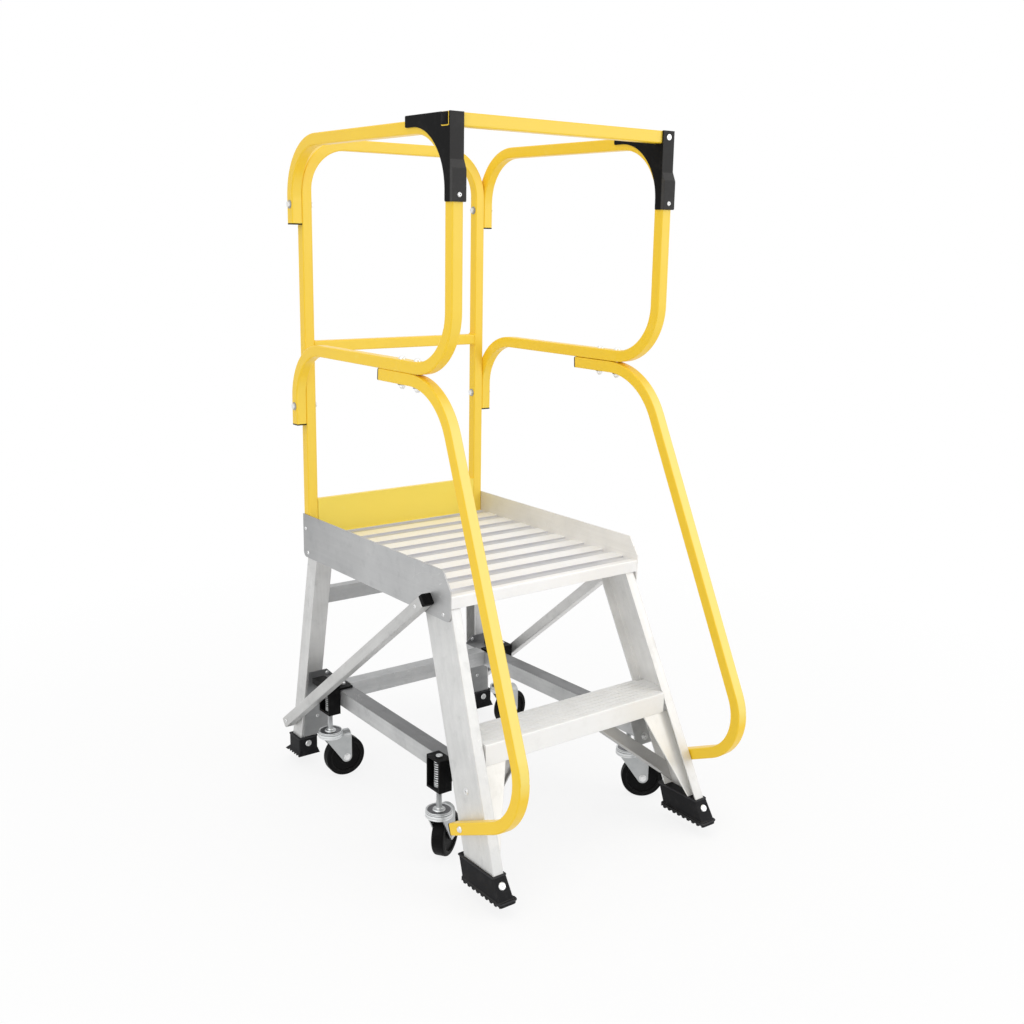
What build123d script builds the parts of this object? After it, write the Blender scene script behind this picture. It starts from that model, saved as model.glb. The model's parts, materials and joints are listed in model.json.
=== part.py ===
from build123d import *
import math
import os

os.makedirs("parts", exist_ok=True)

# Heights, in millimetres, from the floor up
sole_lift = 25.0  # the casters hold the boot soles this far off the floor
deck_rise = 570.0  # deck top above the boot soles
step_rise = 285.0  # step top above the boot soles
guard_rise = 931.0  # top of the guard rails above the deck
middle_rise = 457.2  # centre of the middle rails above the deck
base_rise = 166.0  # underside of the base rails above the boot soles
cross_rise = 395.0  # underside of the upper rear cross member above the boot soles

# Deck, side plates and kick board
deck_width = 514.6
deck_length = 612.6
deck_depth = 26.5
nose_round = 3.0
groove_count = 9
groove_pitch = 70.2
groove_width = 30.0
groove_depth = 4.0
groove_first = 31.7
sheet = 3.0
plate_above = 51.0
plate_below = 56.0
plate_cut_y = 28.0
plate_cut_z = 39.0
plate_corner = 13.0
kick_height = 89.0
kick_lip = 12.0

# Square tube of the guards, handrails and braces
tube = 25.4
tube_wall = 2.0
tube_corner = 3.0
frame_bend = 105.0
rail_bend = 120.0
hand_bend_top = 160.0
hand_bend_low = 115.0
post_foot_gap = 3.5
hook_top_drop = 179.0
hook_low_drop = 182.0
hook_bolt_up = 42.0
rail_overhang = 20.3
hand_start_back = 260.3
hand_foot_rise = 108.5
hand_foot_in = 5.3
hand_slope_ahead = 194.8  # the sloping run's centre, ahead of the stile's front edge at the same height
hand_bolt_pitch = 58.0
hand_foot_bolt = 37.7
cap_thick = 3.0

# Front corner brackets and the gate bar
cheek_in = 2.4
cheek_out = 3.5
bracket_front = 5.3
bracket_recess = 8.8
bracket_top = 9.0
bracket_drop = 152.2
bevel_low = 94.0
bevel_high = 74.0
bracket_round = 3.0
arm_reach = 158.4
arm_thick = 22.0
web_show = 3.7
gate_wall = 4.1
gate_gap = 0.4
pin_radius = 4.0
pin_head_radius = 6.5
pin_head = 2.0
pin_reach = 9.0
plug_length = 12.0

# Front stiles, their boots, the step and its braces
stile_angle = 23.9
stile_splay = 4.9
stile_depth = 93.0
stile_flange = 25.0
stile_setback = 8.3
stile_end_rise = 14.0
stile_corner = 2.0
front_boot_height = 52.5
boot_wall = 3.5
boot_heel_wall = 15.0
boot_toe = 5.5
boot_lip = 5.0
boot_lip_side = 1.5
boot_lip_height = 9.0
boot_lip_round = 8.0
boot_rivet_share = 0.59
front_boot_flare = 6.0
boot_round = 3.0
tooth_count = 9
tooth_radius = 4.5
rear_tooth_count = 5
step_depth = 99.0
step_height = 47.0
step_front = 115.0
step_top = 4.0
step_return = 22.0
step_groove_count = 6
step_groove_width = 2.0
step_groove_depth = 1.0
step_gap = 2.0
tongue_drop = 35.0
gusset_inset = 6.0
gusset_reach = 83.0
gusset_tip = 26.0
strap_reach = 206.0
strap_top = 44.0
strap_low = 44.0
strap_lip = 12.0
strap_lip_drop = 10.0

# Rear legs, their boots and the members between them
leg_angle = 4.4
leg_splay = 4.34
leg_depth = 43.6
leg_width = 44.0
leg_setback = 16.8
rear_boot_height = 47.0
rear_boot_skirt = 13.0
rear_boot_flare = 4.0
rear_boot_heel = 16.0
leg_plate_reach = 30.0
leg_plate_top = 248.0
leg_plate_cut = 18.0
leg_plate_edge = 6.0
base_width = 40.0
base_height = 38.0
base_wall = 2.5
base_front_inset = 1.0
base_rear_inset = 12.3
cleat_below = 21.0
cleat_edge = 5.0
lower_cross_depth = 38.0
lower_cross_lift = 3.0
lower_cross_ahead = 1.9
upper_cross_ahead = 12.6
upper_cross_height = 38.0
upper_cross_flange = 25.0
brace_top_y = 92.6
brace_top_z = 39.0
brace_low_y = 9.0
brace_low_z = 89.0
brace_top_end = 25.0
brace_low_end = 14.0
brace_cap = 10.0

# Spring loaded casters: side, caster row and the way that the wheel trails, in degrees from +X
caster_set = {
    "front_l": (-1, "front", 33.9),
    "front_r": (1, "front", -36.6),
    "rear_l": (-1, "rear", -5.3),
    "rear_r": (1, "rear", 8.0),
}
front_caster_back = 19.2
rear_caster_ahead = 95.7
housing_width = 32.4
housing_length = 50.7
housing_below = 21.0
housing_above = 14.0
housing_wall = 4.2
housing_floor = 5.0
housing_slot = 40.0
housing_round = 2.0
tab_length = 43.0
tab_thick = 5.0
lug_reach = 32.0
stem_radius = 6.35
run_clearance = 0.08
spring_mean = 10.0
spring_wire = 2.4
spring_quarters = 48
collar_radius = 11.2
collar_thick = 3.5
stop_gap = 0.3
stem_head = 7.2
stem_head_thick = 3.0
wheel_radius = 50.0
wheel_width = 28.0
tread_round = 5.0
wheel_dish = 4.0
rim_thick = 12.0
hub_radius = 13.0
trail = 35.5
axle_radius = 4.0
axle_half = 21.5
fork_sheet = 3.0
fork_gap = 1.0
fork_end = 13.0
fork_back = 20.0
axle_head = 6.5
crown_clear = 6.0
crown_thick = 10.5
race_radius = 29.0
race_thick = 6.0
race_gap = 0.4
king_radius = 6.0
king_head = 9.0
king_head_thick = 4.0

# Fasteners and fits
bolt_radius = 4.0
bolt_head = 7.0
bolt_head_thick = 4.5
bolt_nut_thick = 5.5
dome_radius = 6.0
dome_thick = 4.0
dome_taper = 30.0
rivet_radius = 2.4
rivet_head = 5.0
rivet_head_slope = 1.8
rivet_eye = 1.4
boot_rivet_head = 8.5
rivet_head_thick = 2.0
boot_rivet_depth = 3.0
fit = 0.05
knee_fit = 0.3
web_rivet_back = 52.0
web_rivet_rise = 188.0
spare = 40.0  # how far a cutting tool runs past what it cuts
half = 1 / 2
hex_sides = 6
right_angle = 90.0

# Slopes per millimetre of height
stile_run = math.tan(math.radians(stile_angle))
stile_spread = math.tan(math.radians(stile_splay))
leg_run = math.tan(math.radians(leg_angle))
leg_spread = math.tan(math.radians(leg_splay))
stile_cos = math.cos(math.radians(stile_angle))
stile_sin = math.sin(math.radians(stile_angle))
leg_cos = math.cos(math.radians(leg_angle))
leg_sin = math.sin(math.radians(leg_angle))

# Heights worked out from the rises
z_sole = sole_lift
z_deck = z_sole + deck_rise
z_under = z_deck - deck_depth
z_step = z_sole + step_rise
z_step_low = z_step - step_height
z_guard = z_deck + guard_rise
z_top_run = z_guard - tube / 2
z_mid = z_deck + middle_rise
z_plate_top = z_deck + plate_above
z_plate_low = z_deck - plate_below
z_base = z_sole + base_rise
z_base_top = z_base + base_height
z_front_boot = z_sole + front_boot_height
z_rear_boot = z_sole + rear_boot_height
z_skirt = z_sole + rear_boot_skirt
z_stile_end = z_sole + stile_end_rise

# Places across the platform
x_plate = deck_width / 2
x_plate_out = x_plate + sheet
x_post = x_plate - tube / 2
x_rail = x_plate + tube / 2
base_front_half = x_plate - base_front_inset
base_rear_half = x_plate - base_rear_inset
stile_depth_y = stile_depth / stile_cos

# Places along the platform, first from the front face of the rear posts
leg_end_back = tube - leg_setback + (z_under - z_sole) * leg_run
overall_back = leg_end_back + boot_wall + rear_boot_heel
stile_top_ahead = deck_length - stile_setback
z_hand_foot = z_sole + hand_foot_rise


def stile_ahead(z):
    """How far the front edge of a stile lies ahead of the rear posts."""
    return stile_top_ahead + (z_under - z) * stile_run


# The handrail's lower corner, where its sloping run and its foot run would cross
hand_foot_ahead = stile_ahead(z_hand_foot) - stile_depth_y + hand_foot_in
foot_slack = stile_depth_y - hand_foot_in + hand_slope_ahead
hand_corner_up = foot_slack * stile_sin * stile_cos
hand_corner_ahead = hand_foot_ahead + hand_corner_up / stile_run
hand_nose_ahead = hand_corner_ahead - hand_bend_low * (stile_sin + stile_cos - 1) + tube / 2

# The origin is on the floor, half way along the overall length
y_post = (hand_nose_ahead - overall_back) / 2
y_back = y_post + tube
y_tube = y_post + tube / 2
y_nose = y_post - deck_length
y_rail_front = y_nose - rail_overhang
y_step = y_nose - step_front
y_front_caster = y_nose + front_caster_back
y_rear_caster = y_post - rear_caster_ahead
y_brace_top = y_nose + brace_top_y
z_brace_top = z_deck - brace_top_z
z_brace_low = z_sole + brace_low_z


def stile_x(z):
    """Outer face of a stile's web."""
    return x_plate + (z_plate_low - z) * stile_spread


def stile_y(z):
    """Front edge of a stile."""
    return y_post - stile_ahead(z)


def leg_x(z):
    """Outer face of a rear leg's web."""
    return x_plate + (z_plate_low - z) * leg_spread


def leg_y(z):
    """Front face of a rear leg."""
    return y_back - leg_setback - leg_depth + (z_under - z) * leg_run


def base_x(y):
    """Outer face of a base rail."""
    slope = (base_front_half - base_rear_half) / (y_rear_caster - y_front_caster)
    return base_rear_half + (y_rear_caster - y) * slope


def stile_plane(back):
    """Plane across the platform that leans as the stiles do, its x axis at the step's underside."""
    low = (0, stile_y(z_step_low) + back, z_step_low)
    return Plane(low, x_dir=(1, 0, 0), z_dir=(0, -stile_cos, stile_sin))


def leg_plane(ahead):
    """Plane that lies on the front of the rear legs, its x axis at the top of the leg plates."""
    low = (0, leg_y(leg_plate_top), leg_plate_top)
    return Plane(low, x_dir=(1, 0, 0), z_dir=(0, -leg_cos, -leg_sin)).offset(ahead)


def outward(x, y, z, side=1):
    """Plane that faces out of the platform's side."""
    return Plane((side * x, y, z), x_dir=(0, 1, 0), z_dir=(side, 0, 0))


def forward(x, y, z):
    """Plane that faces the front."""
    return Plane((x, y, z), x_dir=(1, 0, 0), z_dir=(0, -1, 0))


def flipped(plane):
    """The same plane on the other side of the platform."""
    place = plane.origin
    facing = plane.z_dir
    return Plane((-place.X, place.Y, place.Z), z_dir=(-facing.X, facing.Y, facing.Z))


def both_sides(planes):
    """Planes on the right, and the same ones on the left."""
    return [*planes, *[flipped(plane) for plane in planes]]


def save(piece, name):
    """Label one piece and write it."""
    piece.label = name
    export_step(piece, f"parts/{name}.step")


def save_pair(piece, name):
    """Write a piece of the right side, and its mirror image for the left."""
    save(mirror(piece, about=Plane.YZ), f"{name}_l")
    save(piece, f"{name}_r")


def bent_tube(plane, points, bends, wall=tube_wall):
    """Square tube along a bent line in a plane; with no wall it is solid."""
    with BuildPart() as bent:
        with BuildLine(plane) as route:
            FilletPolyline(*points, radius=bends)
        with BuildSketch(Plane(route.line @ 0, x_dir=plane.z_dir, z_dir=route.line % 0)):
            RectangleRounded(tube, tube, tube_corner)
            if wall:
                RectangleRounded(tube - 2 * wall, tube - 2 * wall, tube_corner - wall, mode=Mode.SUBTRACT)
        sweep(path=route.line)
    return bent.part


def channel_points(depth, flange, grow=0.0):
    """Corners of a channel in plan, its web at x = 0 and its front at y = 0."""
    inner = sheet + grow
    return [
        (grow, -grow),
        (-flange - grow, -grow),
        (-flange - grow, inner),
        (-inner, inner),
        (-inner, depth - inner),
        (-flange - grow, depth - inner),
        (-flange - grow, depth + grow),
        (grow, depth + grow),
    ]


def drop(z_from, z_to, run, spread):
    """Length and direction of a leaning leg between two heights."""
    way = Vector(spread, run, -1)
    return (z_from - z_to) * way.length, way


# Deck: a ribbed plank with hollow cells under it
groove_y = [y_nose + groove_first + i * groove_pitch for i in range(groove_count)]
cell_y = [y_nose + sheet / 2]
cell_y += [y + groove_pitch / 2 for y in groove_y[:-1]]
cell_y += [y_post - sheet / 2]
cell_height = deck_depth - groove_depth - sheet
with BuildPart() as deck:
    with BuildSketch(Plane.YZ.offset(-deck_width / 2)):
        with Locations((y_nose, z_deck)):
            Rectangle(deck_length, deck_depth, align=(Align.MIN, Align.MAX))
        with Locations(*[(y, z_deck) for y in groove_y]):
            Rectangle(groove_width, groove_depth, align=(Align.CENTER, Align.MAX), mode=Mode.SUBTRACT)
        for ahead, behind in zip(cell_y, cell_y[1:]):
            with Locations((ahead + sheet / 2, z_under)):
                Rectangle(
                    behind - ahead - sheet, cell_height, align=(Align.MIN, Align.MIN), mode=Mode.SUBTRACT
                )
    extrude(amount=deck_width)
    fillet(deck.edges().filter_by(Axis.X).group_by(Axis.Y)[0].sort_by(Axis.Z)[-1], nose_round)
save(deck.part, "deck")

# Side plates, with rivet holes for the post, the rear leg and the stile
plate_rivets = [
    outward(x_plate_out, y_tube, z_deck + tube_corner + tube / 2),
    outward(x_plate_out, leg_y(z_plate_low) + leg_depth - rivet_head - sheet, z_plate_low + tube / 2),
    outward(x_plate_out, y_nose + tube, z_plate_low + tube / 2),
]
with BuildPart() as side_plate:
    with BuildSketch(Plane.YZ.offset(x_plate)) as outline:
        with BuildLine():
            Polyline(
                (y_nose, z_plate_low),
                (y_back, z_plate_low),
                (y_back, z_plate_top),
                (y_nose + plate_cut_y, z_plate_top),
                (y_nose, z_plate_top - plate_cut_z),
                close=True,
            )
        make_face()
        fillet(outline.vertices().group_by(Axis.Y)[0], plate_corner)
    extrude(amount=sheet)
    with Locations(*plate_rivets):
        Cylinder(rivet_radius + fit, 2 * sheet, mode=Mode.SUBTRACT)
save_pair(side_plate.part, "side_plate")

# Kick board: a plate between the posts with a lip turned back along its top
with BuildPart() as kick_board:
    with BuildSketch(Plane.YZ.offset(tube - x_plate)):
        with Locations((y_post, z_deck)):
            Rectangle(sheet, kick_height, align=(Align.MIN, Align.MIN))
        with Locations((y_post, z_deck + kick_height)):
            Rectangle(kick_lip, sheet, align=(Align.MIN, Align.MAX))
    extrude(amount=2 * (x_plate - tube))
save(kick_board.part, "kick_board")

# Rear frame, with holes for the hook bolts
z_post_foot = z_under + post_foot_gap
z_hook_top = z_top_run - hook_top_drop
z_hook_low = z_mid - hook_low_drop
hook_bolts = [
    outward(x_rail + tube / 2, y_tube, z_hook_top + hook_bolt_up),
    outward(x_rail + tube / 2, y_tube, z_hook_low + hook_bolt_up),
]
frame_tube = bent_tube(
    Plane.XZ.offset(-y_tube),
    [(-x_post, z_post_foot), (-x_post, z_top_run), (x_post, z_top_run), (x_post, z_post_foot)],
    frame_bend,
)
with BuildPart() as rear_frame:
    add(frame_tube)
    with Locations(*both_sides(hook_bolts)):
        Cylinder(bolt_radius + fit, 4 * tube + spare, mode=Mode.SUBTRACT)
save(rear_frame.part, "rear_frame")

# Middle rail between the posts
with BuildPart() as mid_rail:
    with BuildSketch(Plane.YZ.offset(tube - x_plate)):
        with Locations((y_tube, z_mid)):
            RectangleRounded(tube, tube, tube_corner)
            RectangleRounded(
                tube - 2 * tube_wall, tube - 2 * tube_wall, tube_corner - tube_wall, mode=Mode.SUBTRACT
            )
    extrude(amount=2 * (x_plate - tube))
save(mid_rail.part, "mid_rail")

# Side rails: one bent tube each, hooked down outside the posts at both heights
rail_points = [
    (y_tube, z_hook_top),
    (y_tube, z_top_run),
    (y_rail_front, z_top_run),
    (y_rail_front, z_mid),
    (y_tube, z_mid),
    (y_tube, z_hook_low),
]
hand_bolt_first = y_rail_front + rail_bend + bolt_head + fit
hand_bolt_y = [hand_bolt_first, hand_bolt_first + hand_bolt_pitch]
z_run_top = z_mid + tube / 2
rail_tube = bent_tube(Plane.YZ.offset(x_rail), rail_points, rail_bend)
with BuildPart() as side_rail:
    add(rail_tube)
    with Locations(*hook_bolts):
        Cylinder(bolt_radius + fit, 3 * tube, mode=Mode.SUBTRACT)
    with Locations(*[(x_rail, y, z_mid) for y in hand_bolt_y]):
        Cylinder(bolt_radius + fit, 2 * tube, mode=Mode.SUBTRACT)
save_pair(side_rail.part, "side_rail")

# Handrails: each lies in a plane that leans out, so that its foot comes beside the stile's web
z_hand_low = z_hand_foot - tube
hand_lean = (stile_x(z_hand_low) - x_plate) / (z_mid - tube - z_hand_low)
hand_cos = math.cos(math.atan(hand_lean))
hand_sin = math.sin(math.atan(hand_lean))
z_hand_top = z_mid - tube / 2 - (hand_cos + hand_sin) * tube / 2
hand_plane = Plane((x_rail, 0, z_hand_top), x_dir=(0, 1, 0), z_dir=(hand_cos, 0, hand_sin))


def hand_point(y, z):
    """A point of the handrail's plane, from its place along the platform and its height."""
    return (y, (z - z_hand_top) / hand_cos)


hand_top_y = stile_y(z_hand_top) - hand_slope_ahead
z_hand_corner = z_hand_foot + hand_corner_up
hand_points = [
    hand_point(y_rail_front + hand_start_back, z_hand_top),
    hand_point(hand_top_y, z_hand_top),
    hand_point(y_post - hand_corner_ahead, z_hand_corner),
    hand_point(y_post - hand_foot_ahead, z_hand_foot),
]
z_hand_bolt = z_hand_foot + hand_foot_bolt * stile_sin
hand_bolt_place = hand_point(y_post - hand_foot_ahead - hand_foot_bolt * stile_cos, z_hand_bolt)
hand_foot_spot = Plane(
    hand_plane.offset(tube / 2).from_local_coords(hand_bolt_place), z_dir=hand_plane.z_dir
)
hand_foot_deep = hand_foot_spot.origin.X - stile_x(z_hand_bolt) + sheet
hand_foot_grip = hand_foot_deep / hand_cos + bolt_head * stile_spread
hand_tube = bent_tube(hand_plane, hand_points, [hand_bend_top, hand_bend_low])
with BuildPart() as handrail:
    add(hand_tube)
    with Locations(*[(x_rail, y, z_mid - tube) for y in hand_bolt_y]):
        Cylinder(bolt_radius + fit, 2 * tube, mode=Mode.SUBTRACT)
    with Locations(hand_foot_spot):
        Cylinder(bolt_radius + fit, 3 * tube, mode=Mode.SUBTRACT)
save_pair(handrail.part, "handrail")

# End caps of the hooks and the handrails
hand_start = hand_plane.from_local_coords(hand_points[0])
hand_end = hand_plane.from_local_coords(hand_points[-1])
hand_end_way = hand_end - hand_plane.from_local_coords(hand_points[-2])
cap_planes = [
    Plane((x_rail, y_tube, z_hook_top), x_dir=(1, 0, 0), z_dir=(0, 0, -1)),
    Plane((x_rail, y_tube, z_hook_low), x_dir=(1, 0, 0), z_dir=(0, 0, -1)),
    Plane(hand_start, x_dir=hand_plane.z_dir, z_dir=(0, 1, 0)),
    Plane(hand_end, x_dir=hand_plane.z_dir, z_dir=hand_end_way),
]
with BuildPart() as right_caps:
    for cap_plane in cap_planes:
        with BuildSketch(cap_plane):
            RectangleRounded(tube, tube, tube_corner)
        extrude(amount=cap_thick)
with BuildPart() as rail_end_caps:
    add(right_caps.part)
    add(mirror(right_caps.part, about=Plane.YZ, mode=Mode.PRIVATE))
save(rail_end_caps.part, "rail_end_caps")

# Front corner brackets, moulded round the outside of the side rail's front bend
y_gate = y_rail_front - tube / 2 - bracket_front + bracket_recess + gate_wall + gate_gap + tube / 2
z_bracket_top = z_guard + bracket_top
z_gate = z_bracket_top - gate_gap - tube / 2
bend_y = y_rail_front + rail_bend
bend_z = z_top_run - rail_bend
web_radius = rail_bend - tube / 2 + web_show
z_arm = z_bracket_top - arm_thick
y_arm = y_rail_front - tube / 2 + arm_reach
y_bracket = y_rail_front - tube / 2 - bracket_front
y_recess = y_bracket + bracket_recess
z_bracket_low = z_guard - bracket_drop
x_bracket_in = x_plate - cheek_in
bracket_width = tube + cheek_in + cheek_out
rail_core = bent_tube(Plane.YZ.offset(x_rail), rail_points, rail_bend, wall=0)
bracket_rivet = forward(x_rail, y_bracket, z_bracket_low + tube / 2)
gate_pivot = forward(x_rail, y_recess, z_gate)


def corner_bracket(pocket_width):
    """Bracket of the right corner, with the gate's pocket open from its inner side to a given width."""
    with BuildPart() as bracket:
        with BuildSketch(Plane.YZ.offset(x_bracket_in)) as bracket_outline:
            with BuildLine():
                Polyline(
                    (bend_y, z_arm),
                    (y_arm, z_arm),
                    (y_arm, z_bracket_top),
                    (y_recess, z_bracket_top),
                    (y_recess, z_guard - bevel_high),
                    (y_bracket, z_guard - bevel_low),
                    (y_bracket, z_bracket_low),
                    (bend_y - web_radius, z_bracket_low),
                    (bend_y - web_radius, bend_z),
                )
                EllipticalCenterArc(
                    (bend_y, bend_z),
                    web_radius,
                    z_arm - bend_z,
                    start_angle=right_angle,
                    arc_size=right_angle,
                )
            make_face()
            fillet(bracket_outline.vertices().group_by(Axis.X)[-1], bracket_round)
            fillet(bracket_outline.vertices().group_by(Axis.Y)[0], bracket_round)
        extrude(amount=bracket_width)
        add(rail_core, mode=Mode.SUBTRACT)
        with BuildSketch(Plane.YZ.offset(x_bracket_in)):
            with Locations((y_gate, z_gate - tube / 2 - gate_gap)):
                Rectangle(tube + 2 * gate_gap, tube + spare, align=(Align.CENTER, Align.MIN))
        extrude(amount=pocket_width, mode=Mode.SUBTRACT)
        with Locations(bracket_rivet):
            Cylinder(rivet_radius + fit, 2 * boot_rivet_depth, mode=Mode.SUBTRACT)
    return bracket


left_bracket = corner_bracket(bracket_width)
right_bracket = corner_bracket(cheek_in + tube + gate_gap)
pin_length = gate_wall + tube + 2 * gate_gap + pin_reach
with BuildPart() as corner_bracket_r:
    add(right_bracket.part)
    with Locations(gate_pivot):
        Cylinder(
            pin_radius + fit,
            pin_length + fit,
            align=(Align.CENTER, Align.CENTER, Align.MAX),
            mode=Mode.SUBTRACT,
        )
save(mirror(left_bracket.part, about=Plane.YZ), "corner_bracket_l")
save(corner_bracket_r.part, "corner_bracket_r")

# Gate bar, which lifts about its pin in the right bracket and drops into the left one
gate_end = x_rail + tube / 2 + cheek_out
gate_length = gate_end + x_rail
gate_bore = tube - 2 * tube_wall
with BuildPart() as gate_bar:
    with BuildSketch(Plane.XZ.offset(-y_gate - tube / 2)):
        with Locations((x_rail, z_gate)):
            Rectangle(gate_length, tube, align=(Align.MAX, Align.CENTER))
            Circle(tube / 2)
    extrude(amount=tube)
    fillet(gate_bar.edges().filter_by(Axis.X), tube_corner)
    with BuildSketch(Plane.XZ.offset(-y_gate - gate_bore / 2)):
        with Locations((x_rail, z_gate)):
            Rectangle(gate_length, gate_bore, align=(Align.MAX, Align.CENTER))
            Circle(gate_bore / 2)
    extrude(amount=gate_bore, mode=Mode.SUBTRACT)
    with Locations(gate_pivot):
        Cylinder(pin_radius + run_clearance, 4 * tube, mode=Mode.SUBTRACT)
save(gate_bar.part, "gate_bar")

# Pin that the gate bar turns on
with BuildPart() as gate_pin:
    with BuildSketch(gate_pivot):
        Circle(pin_head_radius)
    extrude(amount=pin_head)
    fillet(gate_pin.edges().group_by(Axis.Y)[0], pin_head / 2)
    with BuildSketch(gate_pivot):
        Circle(pin_radius)
    extrude(amount=-pin_length)
save(gate_pin.part, "gate_pin")

# Plug in the gate bar's free end
with BuildPart() as gate_plug:
    with BuildSketch(Plane((-gate_end, y_gate, z_gate), x_dir=(0, 1, 0), z_dir=(1, 0, 0))):
        Rectangle(gate_bore - 2 * fit, gate_bore - 2 * fit)
    extrude(amount=plug_length)
save(gate_plug.part, "gate_plug")

# Front stiles: channels that lean forward and out, open towards the step
stile_drop, stile_way = drop(z_under, z_stile_end, -stile_run, stile_spread)
web_facing = (1, 0, stile_spread)
z_web_rivet = z_sole + web_rivet_rise
web_rivet = Plane(
    (stile_x(z_web_rivet), stile_y(z_web_rivet) + web_rivet_back, z_web_rivet), z_dir=web_facing
)
with BuildPart() as front_stile:
    with BuildSketch(Plane((stile_x(z_under), stile_y(z_under), z_under))) as stile_outline:
        with BuildLine():
            Polyline(*channel_points(stile_depth_y, stile_flange), close=True)
        make_face()
        fillet(stile_outline.vertices().group_by(Axis.X)[-1], stile_corner)
    extrude(amount=stile_drop, dir=stile_way)
    with Locations(web_rivet):
        Cylinder(rivet_radius + fit, 2 * sheet, mode=Mode.SUBTRACT)
    with Locations(hand_foot_spot):
        Cylinder(bolt_radius + fit, 4 * tube, mode=Mode.SUBTRACT)
save_pair(front_stile.part, "front_stile")

# Rubber boots of the front stiles, with a toothed sole that stands out as a lip
z_lip = z_sole + boot_lip_height
boot_top_heel = stile_y(z_front_boot) + stile_depth_y + boot_heel_wall
boot_lip_heel = stile_y(z_lip) + stile_depth_y + boot_heel_wall
boot_top_y = stile_y(z_front_boot) - boot_wall
boot_lip_y = stile_y(z_lip) - boot_wall - boot_toe
boot_top_in = stile_x(z_front_boot) - stile_flange - boot_wall
boot_lip_in = stile_x(z_lip) - stile_flange - boot_wall - front_boot_flare
boot_lip_out = stile_x(z_lip) + boot_wall
boot_toe_y = boot_lip_y - boot_lip
boot_length = boot_lip_heel + boot_lip - boot_toe_y
z_pocket = z_front_boot + spare
boot_pocket, boot_way = drop(z_pocket, z_stile_end - fit, -stile_run, stile_spread)
tooth_pitch = boot_length / tooth_count
boot_face = Vector(0, z_lip - z_front_boot, boot_top_y - boot_lip_y)
boot_rivet_z = z_lip + (z_front_boot - z_lip) * boot_rivet_share
boot_rivet = Plane(
    (
        (stile_x(boot_rivet_z) + boot_wall + (boot_lip_in + boot_top_in) / 2) / 2,
        boot_lip_y + (boot_top_y - boot_lip_y) * boot_rivet_share,
        boot_rivet_z,
    ),
    z_dir=boot_face,
)
with BuildPart() as front_boot:
    with BuildSketch(Plane((boot_lip_in, boot_lip_y, z_lip))):
        Rectangle(boot_lip_out - boot_lip_in, boot_lip_heel - boot_lip_y, align=(Align.MIN, Align.MIN))
    with BuildSketch(Plane((boot_top_in, boot_top_y, z_front_boot))):
        Rectangle(
            stile_x(z_front_boot) + boot_wall - boot_top_in,
            boot_top_heel - boot_top_y,
            align=(Align.MIN, Align.MIN),
        )
    loft()
    fillet(front_boot.edges().group_by(Axis.Z)[1:-1], boot_round)
    with BuildSketch(Plane((boot_lip_in - boot_lip, boot_toe_y, z_sole))):
        RectangleRounded(
            boot_lip_out + boot_lip_side - boot_lip_in + boot_lip,
            boot_length,
            boot_lip_round,
            align=(Align.MIN, Align.MIN),
        )
    extrude(amount=boot_lip_height)
    with BuildSketch(Plane((stile_x(z_pocket), stile_y(z_pocket), z_pocket))):
        with BuildLine():
            Polyline(*channel_points(stile_depth_y, stile_flange, fit), close=True)
        make_face()
    extrude(amount=boot_pocket, dir=boot_way, mode=Mode.SUBTRACT)
    with Locations(
        *[
            Plane((boot_lip_in, boot_toe_y + (i + half) * tooth_pitch, z_sole), z_dir=(1, 0, 0))
            for i in range(tooth_count)
        ]
    ):
        Cylinder(tooth_radius, 4 * spare, mode=Mode.SUBTRACT)
    with Locations(boot_rivet):
        Cylinder(rivet_radius + fit, 2 * boot_rivet_depth, mode=Mode.SUBTRACT)
save_pair(front_boot.part, "front_boot")

# Step: a tread with turned under edges and closed ends, and a narrower core that reaches into both stiles
step_half = stile_x(z_step) - stile_flange - step_gap
core_half = stile_x(z_step) - sheet - fit
core_front = stile_y(z_step) + sheet + fit
core_back = stile_y(z_step - tongue_drop) + stile_depth_y - sheet - fit
step_groove_pitch = step_depth / (step_groove_count + 1)
with BuildPart() as step:
    with BuildSketch(Plane.YZ.offset(-step_half)):
        with Locations((y_step, z_step)):
            Rectangle(step_depth, step_height, align=(Align.MIN, Align.MAX))
        with Locations(*[(y_step + (i + 1) * step_groove_pitch, z_step) for i in range(step_groove_count)]):
            Rectangle(
                step_groove_width, step_groove_depth, align=(Align.CENTER, Align.MAX), mode=Mode.SUBTRACT
            )
    extrude(amount=2 * step_half)
    fillet(step.edges().filter_by(Axis.X).group_by(Axis.Y)[0], nose_round)
    with BuildSketch(Plane.YZ.offset(sheet - step_half)):
        with Locations((y_step + sheet, z_step - step_top)):
            Rectangle(step_depth - 2 * sheet, step_height - step_top - sheet, align=(Align.MIN, Align.MAX))
        with Locations((y_step + step_return, z_step_low)):
            Rectangle(step_depth - 2 * step_return, sheet, align=(Align.MIN, Align.MIN))
    extrude(amount=2 * (step_half - sheet), mode=Mode.SUBTRACT)
    with BuildSketch(Plane.YZ.offset(-core_half)):
        with Locations((core_front, z_step - step_groove_depth)):
            Rectangle(core_back - core_front, tongue_drop - step_groove_depth, align=(Align.MIN, Align.MAX))
        with Locations((core_front + sheet, z_step - step_top)):
            Rectangle(
                core_back - core_front - 2 * sheet,
                tongue_drop - step_top,
                align=(Align.MIN, Align.MAX),
                mode=Mode.SUBTRACT,
            )
    extrude(amount=2 * core_half)
save(step.part, "step")


# Knee braces: a front gusset and a rear strap from the step's underside to the foot of each stile
def up_stile(z):
    """Height as a place along a plane that leans as the stiles do."""
    return (z - z_step_low) / stile_cos


def web_in(z):
    """Inner face of a stile's web."""
    return stile_x(z) - sheet - knee_fit


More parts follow.
